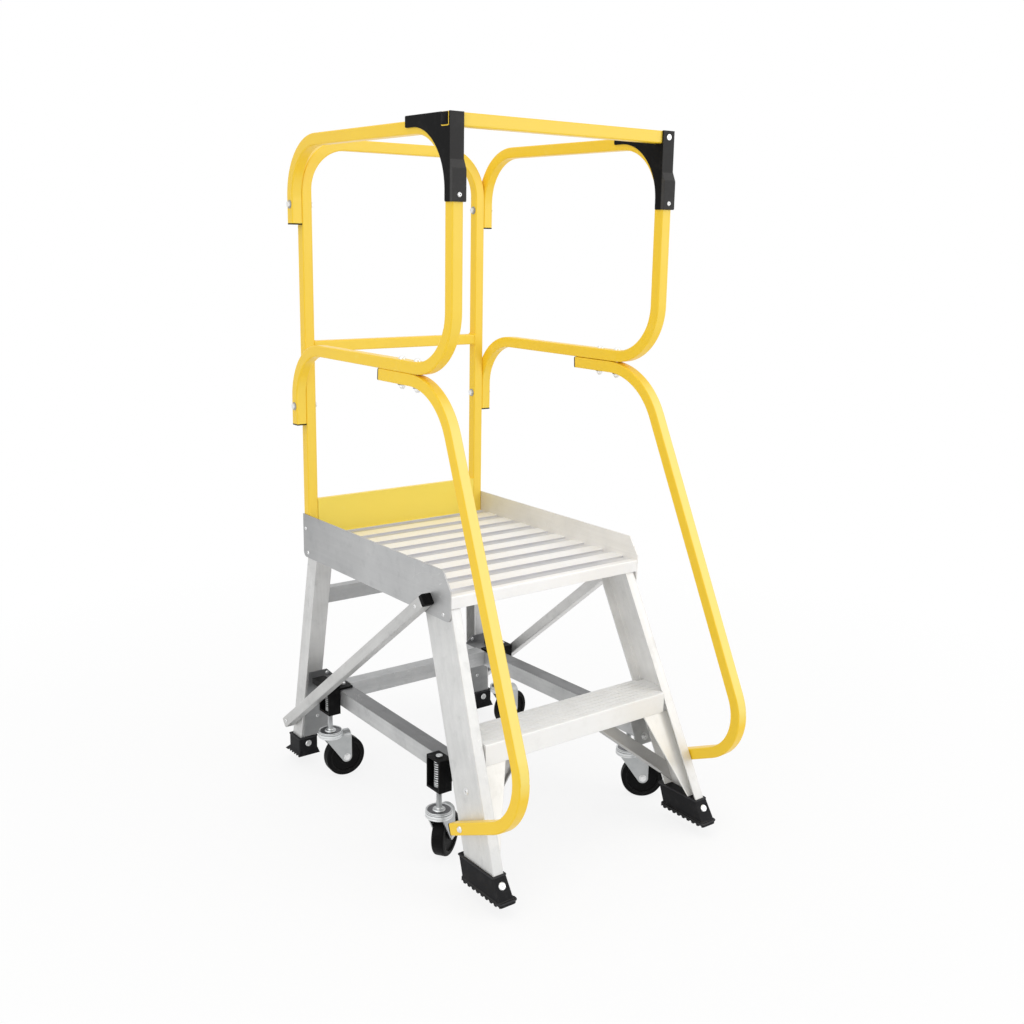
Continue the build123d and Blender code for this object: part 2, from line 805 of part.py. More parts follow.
z_knee = z_front_boot + sheet
z_strap_top = z_step_low - sheet * stile_sin - fit
z_strap_low = z_knee + strap_low
gusset_back = y_step + gusset_inset - stile_y(z_step_low)
strap_in = web_in(z_step_low) - strap_reach
lip_in = strap_in + strap_lip_drop * strap_reach / (z_strap_top - z_knee)
lip_up = up_stile(z_strap_top - strap_lip_drop)
strap_fall = (z_strap_top - z_knee) / stile_cos / (web_in(z_knee) - strap_in)
lip_out = web_in(z_knee) - stile_flange - 2 * sheet
lip_down = lip_up - (lip_out - lip_in) * strap_fall
with BuildPart() as knee_brace:
    with BuildSketch(stile_plane(gusset_back)):
        with BuildLine():
            Polyline(
                (web_in(z_step_low) - gusset_reach, 0),
                (web_in(z_step_low), 0),
                (web_in(z_knee), up_stile(z_knee)),
                (web_in(z_knee) - gusset_tip, up_stile(z_knee)),
                close=True,
            )
        make_face()
    extrude(amount=-sheet)
    with BuildSketch(stile_plane(stile_depth_y - sheet - fit)):
        with BuildLine():
            Polyline(
                (strap_in, up_stile(z_strap_top)),
                (strap_in + strap_top, up_stile(z_strap_top)),
                (web_in(z_strap_low), up_stile(z_strap_low)),
                (web_in(z_knee), up_stile(z_knee)),
                close=True,
            )
        make_face()
    extrude(amount=sheet)
    with BuildSketch(stile_plane(stile_depth_y - sheet - fit)):
        with BuildLine():
            Polyline(
                (lip_in, lip_up),
                (lip_in + sheet / strap_fall, lip_up),
                (lip_out, lip_down + sheet),
                (lip_out, lip_down),
                close=True,
            )
        make_face()
    extrude(amount=strap_lip)
save_pair(knee_brace.part, "knee_brace")

# Rear legs: channels that lean back and out, open towards the middle
leg_drop, leg_way = drop(z_under, z_stile_end, leg_run, leg_spread)
with BuildPart() as rear_leg:
    with BuildSketch(Plane((leg_x(z_under), leg_y(z_under), z_under))) as leg_outline:
        with BuildLine():
            Polyline(*channel_points(leg_depth, leg_width), close=True)
        make_face()
        fillet(leg_outline.vertices().group_by(Axis.X)[-1], stile_corner)
    extrude(amount=leg_drop, dir=leg_way)
save_pair(rear_leg.part, "rear_leg")

# Rubber boots of the rear legs, with a skirt round the sole
rear_boot_in = leg_x(z_skirt) - leg_width - boot_wall
rear_boot_out = leg_x(z_skirt) + boot_wall
rear_boot_front = leg_y(z_rear_boot) - boot_wall
rear_boot_back = leg_y(z_skirt) + leg_depth + boot_wall
rear_boot_width = rear_boot_out - rear_boot_in
rear_boot_length = rear_boot_back - rear_boot_front
z_rear_pocket = z_rear_boot + spare
rear_pocket, rear_way = drop(z_rear_pocket, z_stile_end - fit, leg_run, leg_spread)
rear_tooth_pitch = (rear_boot_length + rear_boot_heel) / (rear_tooth_count + 1)
rear_boot_rivet = forward(
    (rear_boot_in + rear_boot_out) / 2, rear_boot_front, (z_skirt + z_rear_boot) / 2
)
with BuildPart() as rear_boot:
    with BuildSketch(Plane((rear_boot_in, rear_boot_front, z_skirt))):
        Rectangle(rear_boot_width, rear_boot_length, align=(Align.MIN, Align.MIN))
    extrude(amount=z_rear_boot - z_skirt)
    fillet(rear_boot.edges().filter_by(Axis.Z), boot_round)
    with BuildSketch(Plane((rear_boot_in - rear_boot_flare, rear_boot_front - rear_boot_flare, z_sole))):
        Rectangle(
            rear_boot_width + 2 * rear_boot_flare,
            leg_end_back + y_post + boot_wall + rear_boot_heel - rear_boot_front + rear_boot_flare,
            align=(Align.MIN, Align.MIN),
        )
    with BuildSketch(Plane((rear_boot_in, rear_boot_front, z_skirt))):
        Rectangle(rear_boot_width, rear_boot_length, align=(Align.MIN, Align.MIN))
    loft()
    with BuildSketch(Plane((leg_x(z_rear_pocket), leg_y(z_rear_pocket), z_rear_pocket))):
        with BuildLine():
            Polyline(*channel_points(leg_depth, leg_width, fit), close=True)
        make_face()
    extrude(amount=rear_pocket, dir=rear_way, mode=Mode.SUBTRACT)
    with Locations(
        *[
            Plane((rear_boot_in, rear_boot_front + (i + half) * rear_tooth_pitch, z_sole), z_dir=(1, 0, 0))
            for i in range(rear_tooth_count)
        ]
    ):
        Cylinder(tooth_radius, 4 * spare, mode=Mode.SUBTRACT)
    with Locations(rear_boot_rivet):
        Cylinder(rivet_radius + fit, 2 * boot_rivet_depth, mode=Mode.SUBTRACT)
save_pair(rear_boot.part, "rear_boot")


# Leg plates: gussets on the front of the rear legs, which the base rails butt against
def up_leg(z):
    """Height as a place along the front of the rear legs."""
    return (z - leg_plate_top) / leg_cos


z_leg_plate = z_rear_boot + sheet
leg_plate_in = leg_x(leg_plate_top) - leg_width - leg_plate_reach
leg_plate_places = [
    (leg_plate_in + leg_plate_cut, -leg_plate_cut / 2),
    (leg_plate_in + leg_plate_reach + tube / 2, up_leg(z_leg_plate + 2 * tube)),
]
leg_plate_face = leg_plane(sheet)
leg_plate_spots = [
    Plane(leg_plate_face.from_local_coords(place), z_dir=leg_plate_face.z_dir) for place in leg_plate_places
]
with BuildPart() as right_leg_plate:
    with BuildSketch(leg_plane(fit)):
        with BuildLine():
            Polyline(
                (leg_plate_in, up_leg(z_leg_plate)),
                (leg_x(z_leg_plate) - leg_plate_edge, up_leg(z_leg_plate)),
                (leg_x(leg_plate_top) - leg_plate_edge, 0),
                (leg_plate_in + leg_plate_cut, 0),
                (leg_plate_in, -leg_plate_cut),
                close=True,
            )
        make_face()
    extrude(amount=sheet - fit)
    with Locations(*leg_plate_spots):
        Cylinder(rivet_radius + fit, 4 * sheet, mode=Mode.SUBTRACT)
with BuildPart() as leg_plates:
    add(right_leg_plate.part)
    add(mirror(right_leg_plate.part, about=Plane.YZ, mode=Mode.PRIVATE))
save(leg_plates.part, "leg_plates")

# Base rails: box tubes between the stiles and the rear legs, with a cleat on the stile's rear flange
base_slope = (base_front_half - base_rear_half) / (y_rear_caster - y_front_caster)
y_base_back = leg_y(z_base)
y_base_front = stile_y(z_base) + stile_depth_y
base_way = Vector(base_slope, -1, 0)
cleat_plane = stile_plane(stile_depth_y + fit)
cleat_in = base_x(y_base_front) - base_width
z_cleat = z_base - cleat_below
tab_spot = Plane((base_rear_half - base_width / 2, y_rear_caster, z_base_top + tab_thick))
z_base_mid = z_base + base_height / 2
side_spot = outward(base_width - base_x(y_front_caster), y_front_caster, z_base_mid, side=-1)
with BuildPart() as base_rail:
    with BuildSketch(forward(base_x(y_base_back) - base_width / 2, y_base_back, z_base_mid)):
        Rectangle(base_width, base_height)
        Rectangle(base_width - 2 * base_wall, base_height - 2 * base_wall, mode=Mode.SUBTRACT)
    extrude(amount=(y_base_back - y_base_front) * base_way.length, dir=base_way)
    split(bisect_by=cleat_plane.offset(-sheet), keep=Keep.BOTTOM)
    split(bisect_by=leg_plane(sheet + fit), keep=Keep.TOP)
    with BuildSketch(cleat_plane):
        with BuildLine():
            Polyline(
                (cleat_in, up_stile(z_cleat)),
                (stile_x(z_cleat) - cleat_edge, up_stile(z_cleat)),
                (stile_x(z_base_top) - cleat_edge, up_stile(z_base_top)),
                (cleat_in, up_stile(z_base_top)),
                close=True,
            )
        make_face()
    extrude(amount=-sheet)
    with Locations(tab_spot):
        Cylinder(bolt_radius + fit, 4 * base_height, mode=Mode.SUBTRACT)
    with Locations(side_spot):
        Cylinder(bolt_radius + fit, 4 * base_width, mode=Mode.SUBTRACT)
save_pair(base_rail.part, "base_rail")

# Lower rear cross member: a channel between the base rails, open to the back
y_lower = y_rear_caster - lower_cross_ahead
z_lower = z_base + lower_cross_lift
lower_half = base_x(y_lower + lower_cross_depth) - base_width - fit
with BuildPart() as rear_lower_cross:
    with BuildSketch(Plane.YZ.offset(-lower_half)):
        with Locations((y_lower, z_lower)):
            Rectangle(lower_cross_depth, base_height, align=(Align.MIN, Align.MIN))
        with Locations((y_lower + sheet, z_lower + sheet)):
            Rectangle(
                lower_cross_depth, base_height - 2 * sheet, align=(Align.MIN, Align.MIN), mode=Mode.SUBTRACT
            )
    extrude(amount=2 * lower_half)
save(rear_lower_cross.part, "rear_lower_cross")

# Upper rear cross member: an angle that reaches into the rear legs
y_upper = y_post - upper_cross_ahead
z_upper = z_sole + cross_rise
upper_half = leg_x(z_upper + upper_cross_height) - sheet - fit
with BuildPart() as rear_upper_cross:
    with BuildSketch(Plane.YZ.offset(-upper_half)):
        with Locations((y_upper, z_upper)):
            Rectangle(sheet, upper_cross_height, align=(Align.MIN, Align.MIN))
        with Locations((y_upper, z_upper + upper_cross_height)):
            Rectangle(upper_cross_flange, sheet, align=(Align.MIN, Align.MAX))
    extrude(amount=2 * upper_half)
save(rear_upper_cross.part, "rear_upper_cross")

# Diagonal braces: from the outside of each rear leg up to the outside of the side plate
y_brace_low = leg_y(z_brace_low) + leg_depth - brace_low_y
brace_seat_low = Vector(leg_x(z_brace_low), y_brace_low, z_brace_low)
brace_seat_top = Vector(x_plate_out, y_brace_top, z_brace_top)
brace_lean = abs((brace_seat_top - brace_seat_low).normalized().X)
brace_gap_low = (tube / 2 + brace_low_end) * leg_spread + fit
brace_gap_top = (brace_top_end + brace_cap) * brace_lean + fit
brace_low = brace_seat_low + Vector(tube / 2 + brace_gap_low, 0, 0)
brace_top = brace_seat_top + Vector(tube / 2 + brace_gap_top, 0, 0)
brace_way = (brace_top - brace_low).normalized()
brace_side = (Vector(1, 0, 0) - brace_way * brace_way.X).normalized()
brace_start = brace_low - brace_way * brace_low_end
brace_length = (brace_top - brace_low).length + brace_low_end + brace_top_end
brace_plane = Plane(brace_start, x_dir=brace_side, z_dir=brace_way)
brace_rivets = [
    Plane(brace_low + brace_side * (tube / 2), z_dir=brace_side),
    Plane(brace_top + brace_side * (tube / 2), z_dir=brace_side),
]
with BuildPart() as diagonal_brace:
    with BuildSketch(brace_plane):
        RectangleRounded(tube, tube, tube_corner)
        RectangleRounded(
            tube - 2 * tube_wall, tube - 2 * tube_wall, tube_corner - tube_wall, mode=Mode.SUBTRACT
        )
    extrude(amount=brace_length)
    with Locations(*brace_rivets):
        Cylinder(rivet_radius + fit, 2 * sheet, mode=Mode.SUBTRACT)
save_pair(diagonal_brace.part, "diagonal_brace")

# Caps on the upper ends of the braces
with BuildPart() as right_brace_cap:
    with BuildSketch(brace_plane.offset(brace_length)):
        RectangleRounded(tube, tube, tube_corner)
    extrude(amount=brace_cap)
with BuildPart() as brace_caps:
    add(right_brace_cap.part)
    add(mirror(right_brace_cap.part, about=Plane.YZ, mode=Mode.PRIVATE))
save(brace_caps.part, "brace_caps")

# Heights of the casters' pieces
z_housing = z_base - housing_below
z_housing_top = z_base_top + housing_above
housing_height = z_housing_top - z_housing
z_axle = wheel_radius
z_crown = 2 * wheel_radius + crown_clear
z_crown_top = z_crown + crown_thick
z_race = z_crown_top + race_gap
z_race_top = z_race + race_thick
z_collar = z_housing + housing_floor + stop_gap
z_spring_low = z_collar + collar_thick + spring_wire / 2 + fit
z_spring_top = z_housing_top - housing_floor - spring_wire / 2 - fit
z_stem_head = z_housing_top + stop_gap
caster_y = {"front": y_front_caster, "rear": y_rear_caster}


def housing_x(row):
    """Inner face of a housing, against the base rail's outer face."""
    return base_x(caster_y[row] - housing_length / 2) + fit


def spring_housing(row):
    """Housing of a right caster: a slotted block, with a tab on the rail and a lug behind it at the rear."""
    face = housing_x(row)
    y = caster_y[row]
    with BuildPart() as housing:
        with BuildSketch(Plane((face, y, z_housing))):
            Rectangle(housing_width, housing_length, align=(Align.MIN, Align.CENTER))
        extrude(amount=housing_height)
        fillet(housing.edges().filter_by(Axis.Z), housing_round)
        if row == "rear":
            with BuildSketch(Plane((face + housing_wall, y, z_base_top + fit))):
                Rectangle(base_width, tab_length, align=(Align.MAX, Align.CENTER))
            extrude(amount=tab_thick - fit)
            with BuildSketch(Plane((face, y + housing_length / 2 - housing_round, z_base_top + fit))):
                Rectangle(housing_width, lug_reach + housing_round, align=(Align.MIN, Align.MIN))
            extrude(amount=housing_above - fit)
            with Locations(tab_spot):
                Cylinder(bolt_radius + fit, 4 * tab_thick, mode=Mode.SUBTRACT)
        with BuildSketch(Plane((face + housing_wall, y, z_housing + housing_floor))):
            Rectangle(housing_width, housing_slot, align=(Align.MIN, Align.CENTER))
        extrude(amount=housing_height - 2 * housing_floor, mode=Mode.SUBTRACT)
        with Locations((face + housing_width / 2, y, z_housing)):
            Cylinder(stem_radius + run_clearance, 3 * housing_height, mode=Mode.SUBTRACT)
        if row == "front":
            with Locations(side_spot):
                Cylinder(bolt_radius + fit, 2 * (base_width + housing_wall), mode=Mode.SUBTRACT)
    return housing.part


def caster_stem(x, y):
    """Stem with its top head, spring collar, upper race and kingpin."""
    with BuildPart() as stem:
        with BuildSketch(Plane((x, y, z_race))):
            Circle(race_radius)
        extrude(amount=race_thick)
        fillet(stem.edges().group_by(Axis.Z)[-1], race_thick / 2)
        with BuildSketch(Plane((x, y, z_crown - race_gap))):
            Circle(king_radius)
        extrude(amount=z_race - z_crown + race_gap)
        with BuildSketch(Plane((x, y, z_crown - race_gap))):
            Circle(king_head)
        extrude(amount=-king_head_thick)
        with BuildSketch(Plane((x, y, z_race_top))):
            Circle(stem_radius)
        extrude(amount=z_stem_head - z_race_top)
        with BuildSketch(Plane((x, y, z_collar))):
            Circle(collar_radius)
        extrude(amount=collar_thick)
        with BuildSketch(Plane((x, y, z_stem_head))):
            Circle(stem_head)
        extrude(amount=stem_head_thick)
        fillet(stem.edges().group_by(Axis.Z)[-1], stem_head_thick / 2)
    return stem.part


def coil_point(x, y, quarter):
    """Point and unit tangent of the spring's centre line after a number of quarter turns."""
    turn = quarter * math.pi / 2
    climb = (z_spring_top - z_spring_low) / spring_quarters
    place = Vector(
        x + spring_mean * math.cos(turn), y + spring_mean * math.sin(turn), z_spring_low + climb * quarter
    )
    way = Vector(-spring_mean * math.sin(turn), spring_mean * math.cos(turn), climb / (math.pi / 2))
    return place, way.normalized()


def spring_coil(x, y):
    """Compression spring: a round wire swept along two tangent arcs for each quarter turn."""
    with BuildPart() as coil:
        with BuildLine() as wire:
            for quarter in range(spring_quarters):
                start, start_way = coil_point(x, y, quarter)
                end, end_way = coil_point(x, y, quarter + 1)
                chord = end - start
                ways = start_way + end_way
                square = ways.dot(ways) - 4
                linear = chord.dot(ways)
                reach = (linear - math.sqrt(linear**2 - square * chord.dot(chord))) / square
                first = start + start_way * reach
                last = end - end_way * reach
                middle = (first + last) / 2
                TangentArc(start, middle, tangent=start_way)
                TangentArc(middle, end, tangent=last - first)
        with BuildSketch(Plane(wire.line @ 0, z_dir=wire.line % 0)):
            Circle(spring_wire / 2)
        sweep(path=wire.line)
    return coil.part


def swivel_plane(x, y, angle, aside=0.0):
    """Upright plane along a caster's trail, its x axis from the stem towards the axle."""
    turn = math.radians(angle)
    facing = (math.sin(turn), -math.cos(turn), 0)
    return Plane((x, y, 0), x_dir=(math.cos(turn), math.sin(turn), 0), z_dir=facing).offset(aside)


def fork(x, y, angle):
    """Fork with its crown, two legs, the hump over the wheel and the axle."""
    inner = wheel_width / 2 + fork_gap
    outer = inner + fork_sheet
    tail = trail + fork_end
    z_hump = z_crown_top - outer
    with BuildPart() as caster_fork:
        for face in (-outer, inner):
            with BuildSketch(swivel_plane(x, y, angle, face)):
                with Locations((trail, z_axle)):
                    Circle(fork_end)
                with BuildLine():
                    Polyline(
                        (tail, z_hump),
                        (king_head, z_crown_top),
                        (-fork_back, z_crown_top),
                        (-fork_back, z_crown),
                    )
                make_hull()
            extrude(amount=fork_sheet)
        with BuildSketch(Plane((x, y, z_crown))):
            Circle(race_radius - race_gap)
        extrude(amount=crown_thick)
        hump_start = swivel_plane(x, y, angle).from_local_coords((king_head, z_hump))
        along = swivel_plane(x, y, angle).x_dir
        with BuildSketch(Plane(hump_start, x_dir=swivel_plane(x, y, angle).z_dir, z_dir=along)):
            Circle(outer)
            Circle(inner, mode=Mode.SUBTRACT)
            split(bisect_by=Plane.XZ, keep=Keep.TOP)
        extrude(amount=tail - king_head)
        with BuildSketch(swivel_plane(x, y, angle, -axle_half)):
            with Locations((trail, z_axle)):
                Circle(axle_radius)
        extrude(amount=2 * axle_half)
        for face, away in ((-outer, -1), (outer, 1)):
            with BuildSketch(swivel_plane(x, y, angle, face)):
                with Locations((trail, z_axle)):
                    Circle(axle_head)
            extrude(amount=away * (axle_half - outer))
        with Locations((x, y, z_crown)):
            Cylinder(king_radius + run_clearance, 4 * crown_thick, mode=Mode.SUBTRACT)
    return caster_fork.part


def wheel(x, y, angle):
    """Wheel with a hub, dished sides and a rounded tread."""
    upright = swivel_plane(x, y, angle)
    centre = upright.from_local_coords((trail, z_axle))
    bore = axle_radius + run_clearance
    dish = wheel_radius - rim_thick - hub_radius
    with BuildPart() as caster_wheel:
        with BuildSketch(Plane(centre, x_dir=(0, 0, 1), z_dir=upright.x_dir)) as section:
            with Locations((bore, 0)):
                Rectangle(wheel_radius - bore, wheel_width, align=(Align.MIN, Align.CENTER))
            fillet(section.vertices().group_by(Axis.X)[-1], tread_round)
            with Locations((hub_radius, wheel_width / 2), (hub_radius, wheel_dish - wheel_width / 2)):
                Rectangle(dish, wheel_dish, align=(Align.MIN, Align.MAX), mode=Mode.SUBTRACT)
        revolve(axis=Axis(centre, upright.z_dir))
    return caster_wheel.part


for corner, (side, row, angle) in caster_set.items():
    x_stem = side * (housing_x(row) + housing_width / 2)
    y_stem = caster_y[row]
    housing = spring_housing(row)
    if side < 0:
        housing = mirror(housing, about=Plane.YZ)
    save(housing, f"spring_housing_{corner}")
    save(caster_stem(x_stem, y_stem), f"caster_stem_{corner}")
    save(spring_coil(x_stem, y_stem), f"spring_{corner}")
    save(fork(x_stem, y_stem, angle), f"fork_{corner}")
    save(wheel(x_stem, y_stem, angle), f"wheel_{corner}")

# Least gap between the turns of a spring, measured on points of its centre line
coil_steps = 6  # points to a quarter turn
coil_line = [coil_point(0, 0, step / coil_steps)[0] for step in range(spring_quarters * coil_steps + 1)]
coil_gap = min(
    (coil_line[later] - coil_line[step]).length
    for step in range(len(coil_line))
    for later in range(step + 2 * coil_steps, len(coil_line))
)
print("spring least gap", round(coil_gap - spring_wire, 2))

# Bolts that hold the side rails' hooks to the rear posts
with BuildPart() as rail_bolts:
    for spot in both_sides(hook_bolts):
        with BuildSketch(spot):
            RegularPolygon(bolt_head, hex_sides)
        extrude(amount=bolt_head_thick)
        with BuildSketch(spot):
            Circle(bolt_radius)
        extrude(amount=-2 * tube)
        with BuildSketch(spot.offset(-2 * tube)):
            RegularPolygon(bolt_head, hex_sides)
        extrude(amount=-bolt_nut_thick)
save(rail_bolts.part, "rail_bolts")

# Bolts of the handrails: two down through the lower run, and one through the foot into the stile
hand_bend_start = hand_top_y + hand_bend_top * math.tan(math.radians(right_angle - stile_angle) / 2)


def hand_under(y):
    """Height of a nut's seat under the handrail, which starts to bend down towards the front."""
    inner = hand_bend_top - tube / 2
    past = max(0.0, hand_bend_start - y + bolt_head)
    return z_mid - tube / 2 - tube * (hand_cos + hand_sin) - inner + math.sqrt(inner**2 - past**2)


with BuildPart() as right_hand_bolts:
    for y in hand_bolt_y:
        with BuildSketch(Plane((x_rail, y, z_run_top))):
            Circle(bolt_head)
        extrude(amount=dome_thick, taper=dome_taper)
        with BuildSketch(Plane((x_rail, y, z_run_top))):
            Circle(bolt_radius)
        extrude(amount=hand_under(y) - z_run_top)
        with BuildSketch(Plane((x_rail, y, hand_under(y)))):
            RegularPolygon(bolt_head, hex_sides)
        extrude(amount=-bolt_nut_thick)
        with BuildSketch(Plane((x_rail, y, hand_under(y) - bolt_nut_thick))):
            Circle(dome_radius)
        extrude(amount=-dome_thick, taper=dome_taper)
    with BuildSketch(hand_foot_spot):
        Circle(bolt_head)
    extrude(amount=dome_thick, taper=dome_taper)
    with BuildSketch(hand_foot_spot):
        Circle(bolt_radius)
    extrude(amount=-hand_foot_grip)
    with BuildSketch(hand_foot_spot.offset(-hand_foot_grip)):
        RegularPolygon(bolt_head, hex_sides)
    extrude(amount=-bolt_nut_thick)
with BuildPart() as handrail_bolts:
    add(right_hand_bolts.part)
    add(mirror(right_hand_bolts.part, about=Plane.YZ, mode=Mode.PRIVATE))
save(handrail_bolts.part, "handrail_bolts")

# Bolts of the spring housings: down through the rear tabs, and across through the rails at the front
with BuildPart() as right_housing_bolts:
    with BuildSketch(tab_spot):
        RegularPolygon(bolt_head, hex_sides)
    extrude(amount=bolt_head_thick)
    with BuildSketch(tab_spot):
        Circle(bolt_radius)
    extrude(amount=-tab_thick - base_height)
    with BuildSketch(tab_spot.offset(-tab_thick - base_height)):
        RegularPolygon(bolt_head, hex_sides)
    extrude(amount=-bolt_nut_thick)
    with BuildSketch(side_spot):
        Circle(bolt_radius)
    extrude(amount=-base_width - housing_wall / 2)
    with BuildSketch(side_spot.offset(bolt_head * base_slope)):
        RegularPolygon(bolt_head, hex_sides)
    extrude(amount=bolt_head_thick)
    with BuildSketch(side_spot):
        Circle(bolt_radius)
    extrude(amount=bolt_head * base_slope)
with BuildPart() as housing_bolts:
    add(right_housing_bolts.part)
    add(mirror(right_housing_bolts.part, about=Plane.YZ, mode=Mode.PRIVATE))
save(housing_bolts.part, "housing_bolts")

# Rivets, each a low cone of a head with a hollow eye, on a short shank
rivet_spots = [
    *[(spot, sheet, rivet_head) for spot in (*plate_rivets, web_rivet)],
    *[(spot, tube_wall, rivet_head) for spot in brace_rivets],
    *[(spot, boot_rivet_depth, boot_rivet_head) for spot in (boot_rivet, rear_boot_rivet)],
    (bracket_rivet, boot_rivet_depth, rivet_head),
    *[(spot, sheet - 2 * fit, rivet_head) for spot in leg_plate_spots],
]
with BuildPart() as right_rivets:
    for spot, depth, head in rivet_spots:
        with Locations(spot):
            Cone(
                head,
                head - rivet_head_slope,
                rivet_head_thick,
                align=(Align.CENTER, Align.CENTER, Align.MIN),
            )
            Cylinder(rivet_radius, depth, align=(Align.CENTER, Align.CENTER, Align.MAX))
            Cylinder(rivet_eye, 2 * rivet_head_thick, mode=Mode.SUBTRACT)
with BuildPart() as rivets:
    add(right_rivets.part)
    add(mirror(right_rivets.part, about=Plane.YZ, mode=Mode.PRIVATE))
save(rivets.part, "rivets")
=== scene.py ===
import json
import math

import bmesh
import bpy
from mathutils import Matrix, Vector


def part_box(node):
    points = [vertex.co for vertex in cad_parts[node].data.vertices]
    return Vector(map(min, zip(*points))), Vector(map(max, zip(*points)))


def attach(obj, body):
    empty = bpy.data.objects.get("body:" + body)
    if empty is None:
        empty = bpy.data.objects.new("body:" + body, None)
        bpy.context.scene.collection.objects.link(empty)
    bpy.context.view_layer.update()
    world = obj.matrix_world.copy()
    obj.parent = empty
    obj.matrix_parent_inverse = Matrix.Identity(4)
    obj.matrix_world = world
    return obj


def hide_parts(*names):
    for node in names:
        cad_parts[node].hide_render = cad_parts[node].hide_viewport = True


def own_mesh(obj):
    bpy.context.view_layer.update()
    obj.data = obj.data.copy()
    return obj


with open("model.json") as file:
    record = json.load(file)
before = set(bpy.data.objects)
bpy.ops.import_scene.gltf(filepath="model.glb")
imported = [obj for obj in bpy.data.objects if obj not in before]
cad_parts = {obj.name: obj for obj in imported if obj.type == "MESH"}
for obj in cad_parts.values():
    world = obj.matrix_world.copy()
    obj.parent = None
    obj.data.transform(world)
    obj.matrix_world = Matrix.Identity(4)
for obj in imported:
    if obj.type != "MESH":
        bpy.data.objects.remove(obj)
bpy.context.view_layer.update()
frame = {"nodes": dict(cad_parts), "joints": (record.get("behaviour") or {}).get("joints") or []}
nodes = frame["nodes"]
joints = {joint["name"]: joint for joint in frame["joints"]}
sides = {"l": -1, "r": 1}
caster_corners = ("front_l", "front_r", "rear_l", "rear_r")
millimetre = 0.001

# Directions in the frame
along_deck, across_deck, forward, upright = (0, 1, 0), (1, 0, 0), (0, -1, 0), (0, 0, 1)
stile_way = (-0.0857, 0.4431, 1)
stile_front_way = (0, 1, -0.4431)
stile_web_way = (1, 0, 0.0857)
handrail_front_way = (0, -0.914, 0.405)
leg_way = (-0.08, -0.077, 1)
brace_way = (0, 0.76, -0.65)
cleat_way = (0, -0.9143, 0.4051)


def box(name):
    """Lowest and highest corner of a CAD node."""
    low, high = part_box(name)
    return Vector(low), Vector(high)


def middle(name):
    """Middle of a CAD node's box."""
    low, high = box(name)
    return (low + high) / 2


class Value:
    """A shader socket that can stand in Python sums: each sum adds one Math node."""

    def __init__(self, board, socket):
        self.board = board
        self.socket = socket

    def math(self, operation, first, second=0.0):
        """Adds the Math node of one operation."""
        return self.board.node("ShaderNodeMath", {"operation": operation}, {0: first, 1: second})

    def __add__(self, other):
        return self.math("ADD", self, other)

    def __sub__(self, other):
        return self.math("SUBTRACT", self, other)

    def __rsub__(self, other):
        return self.math("SUBTRACT", other, self)

    def __mul__(self, other):
        return self.math("MULTIPLY", self, other)

    def __abs__(self):
        return self.math("ABSOLUTE", self)

    def __lt__(self, other):
        return self.math("LESS_THAN", self, other)

    def folded(self, length):
        """The value folded back and forth between 0 and a length."""
        return self.math("PINGPONG", self, length)

    __radd__ = __add__
    __rmul__ = __mul__


class Board:
    """A node tree and the one way that nodes are put on it."""

    def __init__(self, owner):
        owner.use_nodes = True
        self.tree = owner.node_tree
        self.tree.nodes.clear()

    def feed(self, socket, value):
        """Links a value to a socket, or sets the socket to a constant."""
        if isinstance(value, Value):
            self.tree.links.new(value.socket, socket)
        else:
            socket.default_value = value

    def node(self, kind, settings=None, inputs=None, output=0):
        """Adds a node: its settings first, then the values or links of its sockets."""
        made = self.tree.nodes.new(kind)
        for key, value in (settings or {}).items():
            setattr(made, key, value)
        for key, value in (inputs or {}).items():
            self.feed(made.inputs[key], value)
        return Value(self, made.outputs[output]) if made.outputs else made

    def between(self, value, low, high):
        """The value as a share of the way from low to high, held from 0 to 1."""
        inputs = {"Value": value, "From Min": low, "From Max": high}
        return self.node("ShaderNodeMapRange", {"clamp": True}, inputs)

    def background_ray(self):
        """1 for the rays that should see a white studio: from the camera, in metal and through glass."""
        kinds = ("Is Camera Ray", "Is Glossy Ray", "Is Transmission Ray")
        seen, glossy, through = (self.node("ShaderNodeLightPath", output=kind) for kind in kinds)
        return self.between(seen + glossy + through, 0, 1)


